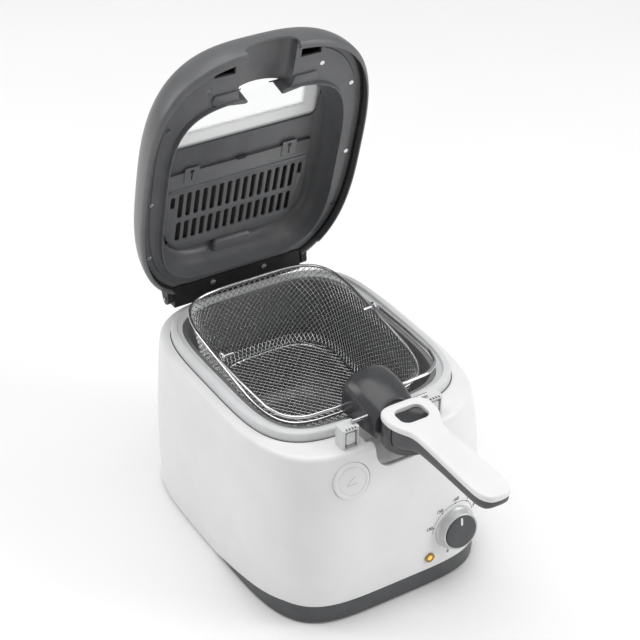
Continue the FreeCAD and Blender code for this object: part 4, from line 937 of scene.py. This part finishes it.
def label(txt, x, z, size, mat="print", turn=0.0):
    cu = bpy.data.curves.new("label_" + txt, "FONT")
    cu.body = txt
    cu.align_x, cu.align_y = "CENTER", "CENTER"
    cu.size = size / 1000.0
    cu.extrude = 0.00003
    cu.offset = 0.00012
    o = bpy.data.objects.new("label_" + txt, cu)
    p, r, u, n = on_wall(x, z)
    c, s = math.cos(turn), math.sin(turn)
    r2, u2 = r * c + u * s, u * c - r * s
    o.matrix_world = Matrix(((r2[0], u2[0], n[0], M(p)[0]), (r2[1], u2[1], n[1], M(p)[1]), (r2[2], u2[2], n[2], M(p)[2]), (0, 0, 0, 1)))
    bpy.context.scene.collection.objects.link(o)
    bpy.context.view_layer.update()
    me = bpy.data.meshes.new_from_object(o.evaluated_get(bpy.context.evaluated_depsgraph_get()))
    mo = bpy.data.objects.new("label_" + txt, me)
    mo.matrix_world = o.matrix_world.copy()
    bpy.context.scene.collection.objects.link(mo)
    bpy.data.objects.remove(o)
    me.materials.clear()
    me.materials.append(MAT[mat])
    use(mo, "base", SLOT["outer_housing"])
    return mo


def dot(x, z, r, mat="print"):
    p, rr, u, n = on_wall(x, z, 0.1)
    a = np.linspace(0, 2 * math.pi, 14, endpoint=False)
    ringv = [p + r * (math.cos(t) * rr + math.sin(t) * u) for t in a]
    top = [q + n * 0.08 for q in ringv]
    v, f = loft([np.array(ringv), np.array(top)])
    return use(mesh_obj("scale_dot", v, f, mat), "base", SLOT["outer_housing"])


for i, txt in enumerate(("130", "150", "160", "170", "180", "190")):
    t = math.radians(163 - i * 38)
    label(txt, 68.0 + 35.2 * math.cos(t), 73.0 + 34.2 * math.sin(t), 5.8)
label("0", 68.0 - 7.0, 73.0 - 32.5, 5.4)
for i in range(6):
    t = math.radians(163 - i * 38)
    dot(68.0 + 29.4 * math.cos(t), 73.0 + 29.4 * math.sin(t), 0.95)
arc_in, arc_out = [], []
for i in range(73):
    t = math.radians(176 - i * 215 / 72)
    for rr_, lst in ((29.15, arc_in), (29.65, arc_out)):
        pnt, _, _, nn = on_wall(68.0 + rr_ * math.cos(t), 73.0 + rr_ * math.sin(t), 0.13)
        lst.append(pnt)
av = np.array(arc_in + arc_out)
af = [(i, i + 1, 73 + i + 1, 73 + i) for i in range(72)]
use(mesh_obj("scale_arc", av, af, "print"), "base", SLOT["outer_housing"])

btn = revolve("button_skin", [(BR, -6.0), (BR, -1.6), (BR - 0.35, -0.9), (BR - 1.1, -0.5), (BR - 3.4, -0.45), (BR - 4.0, -0.7), (BR - 4.5, -1.3), (BR - 5.0, -1.35), (BR - 5.6, -0.9), (BR - 6.4, -0.75), (0.001, -0.7)], BB, BYAW, BPITCH, "white")
use(btn, "lid_button", SLOT["lid_release_button"], "lid_release_button")
# a small lid-up mark on the button
mark = [[(-6.0, -4.4), (6.0, -4.4), (6.0, -3.5), (-6.0, -3.5)], [(-6.0, -2.0), (-5.4, -2.5), (4.2, 4.2), (3.7, 4.9)]]
for k, poly in enumerate(mark):
    v, f = prism_z(poly, -0.72, -0.60)
    use(mesh_obj("button_mark_%d" % k, out_of_front(v, BB, BYAW, BPITCH), f, "print_pale"), "lid_button", SLOT["lid_release_button"])

# ============================================== remaining CAD nodes: materials
PAINT = {"base_tray": "dark", "rubber_feet": "rubber", "base_screws": "steel", "cord_gland": "black", "fry_pot": "pot", "heating_element": "steel", "heat_shield": "sheet", "element_clips": "steel",
         "thermal_fuse": "sheet", "terminal_block": "cream", "thermostat_body": "cream", "thermostat_bulb": "copper", "capillary_tube": "copper", "lead_wires": "wire", "pilot_lamp_bezel": "lampring",
         "pilot_lamp_lens": "amber", "pilot_lamp": "cream", "latch_posts": "collar", "hinge_base": "black", "hinge_screws": "chrome", "hinge_pin": "steel", "hinge_spring": "steel", "lid_screws": "chrome",
         "lid_window": "glass", "filter_mat": "filter", "lid_hinge_knuckles": "black", "pivot_eyes": "chrome", "handle_screws": "steel",
         "handle_release_button": "hbutton", "handle_button_spring": "steel", "support_peg_left": "steel", "support_peg_right": "steel", "dial_pointer": "white", "thermostat_shaft": "steel",
         "button_spring": "steel", "latch_slide_bar": "steel", "latch_springs": "steel"}
BEVEL = {"latch_posts": 1.0, "hinge_base": 0.8, "lid_hinge_knuckles": 0.8, "handle_release_button": 0.8, "base_tray": 0.6}
for name, mname in PAINT.items():
    o = NODES[name]
    o.data.materials.clear()
    o.data.materials.append(MAT[mname])
    if name in BEVEL:
        m = o.modifiers.new("edge", "BEVEL")
        m.width, m.segments, m.limit_method, m.angle_limit = BEVEL[name] / 1000.0, 2, "ANGLE", math.radians(40)
        m.harden_normals = True

# ================================================================ studio
floor_me = bpy.data.meshes.new("floor")
floor_me.from_pydata([(-6, -6, 0), (6, -6, 0), (6, 6, 0), (-6, 6, 0)], [], [(0, 1, 2, 3)])
floor = bpy.data.objects.new("floor", floor_me)
bpy.context.scene.collection.objects.link(floor)
floor_me.materials.append(material("floor_pale", (0.93, 0.93, 0.93), (0.945, 0.945, 0.945), rough=0.8, scale=3))


def area(name, loc, target, size, power, color=(1, 1, 1)):
    li = bpy.data.lights.new(name, "AREA")
    li.shape, li.size, li.size_y, li.energy, li.color = "RECTANGLE", size[0], size[1], power, color
    o = bpy.data.objects.new(name, li)
    o.location = loc
    o.rotation_euler = (Vector(target) - Vector(loc)).to_track_quat("-Z", "Y").to_euler()
    bpy.context.scene.collection.objects.link(o)


area("top", (-0.2, 0.5, 4.0), (0, 0.05, 0.1), (4.4, 4.4), 114)
area("right", (1.7, -1.7, 1.0), (0.05, -0.05, 0.15), (1.1, 1.3), 13)
area("right_high", (1.5, -1.1, 1.8), (-0.05, 0.2, 0.40), (0.8, 0.8), 9)
area("left", (-1.7, 1.5, 1.4), (0, 0.2, 0.4), (0.7, 1.6), 11)
world = bpy.data.worlds.new("studio")
world.use_nodes = True
world.node_tree.nodes["Background"].inputs["Color"].default_value = (1, 1, 1, 1)
world.node_tree.nodes["Background"].inputs["Strength"].default_value = 0.40
bpy.context.scene.world = world
bpy.context.scene.view_settings.view_transform = "Standard"

cam = bpy.data.cameras.new("camera")
cam.sensor_width = 36.0
cam.lens = 36.0 * 1696.121 / 640.0
cam_o = bpy.data.objects.new("camera", cam)
az, el = math.radians(-31.37), math.radians(33.121)
backv = Vector((math.sin(az) * math.cos(el), -math.cos(az) * math.cos(el), math.sin(el)))
cam_o.location = (-0.788733, (-1341.048 + YS) / 1000.0, 1.256313)
cam_o.rotation_euler = (-backv).to_track_quat("-Z", "Y").to_euler()
bpy.context.scene.collection.objects.link(cam_o)
bpy.context.scene.camera = cam_o
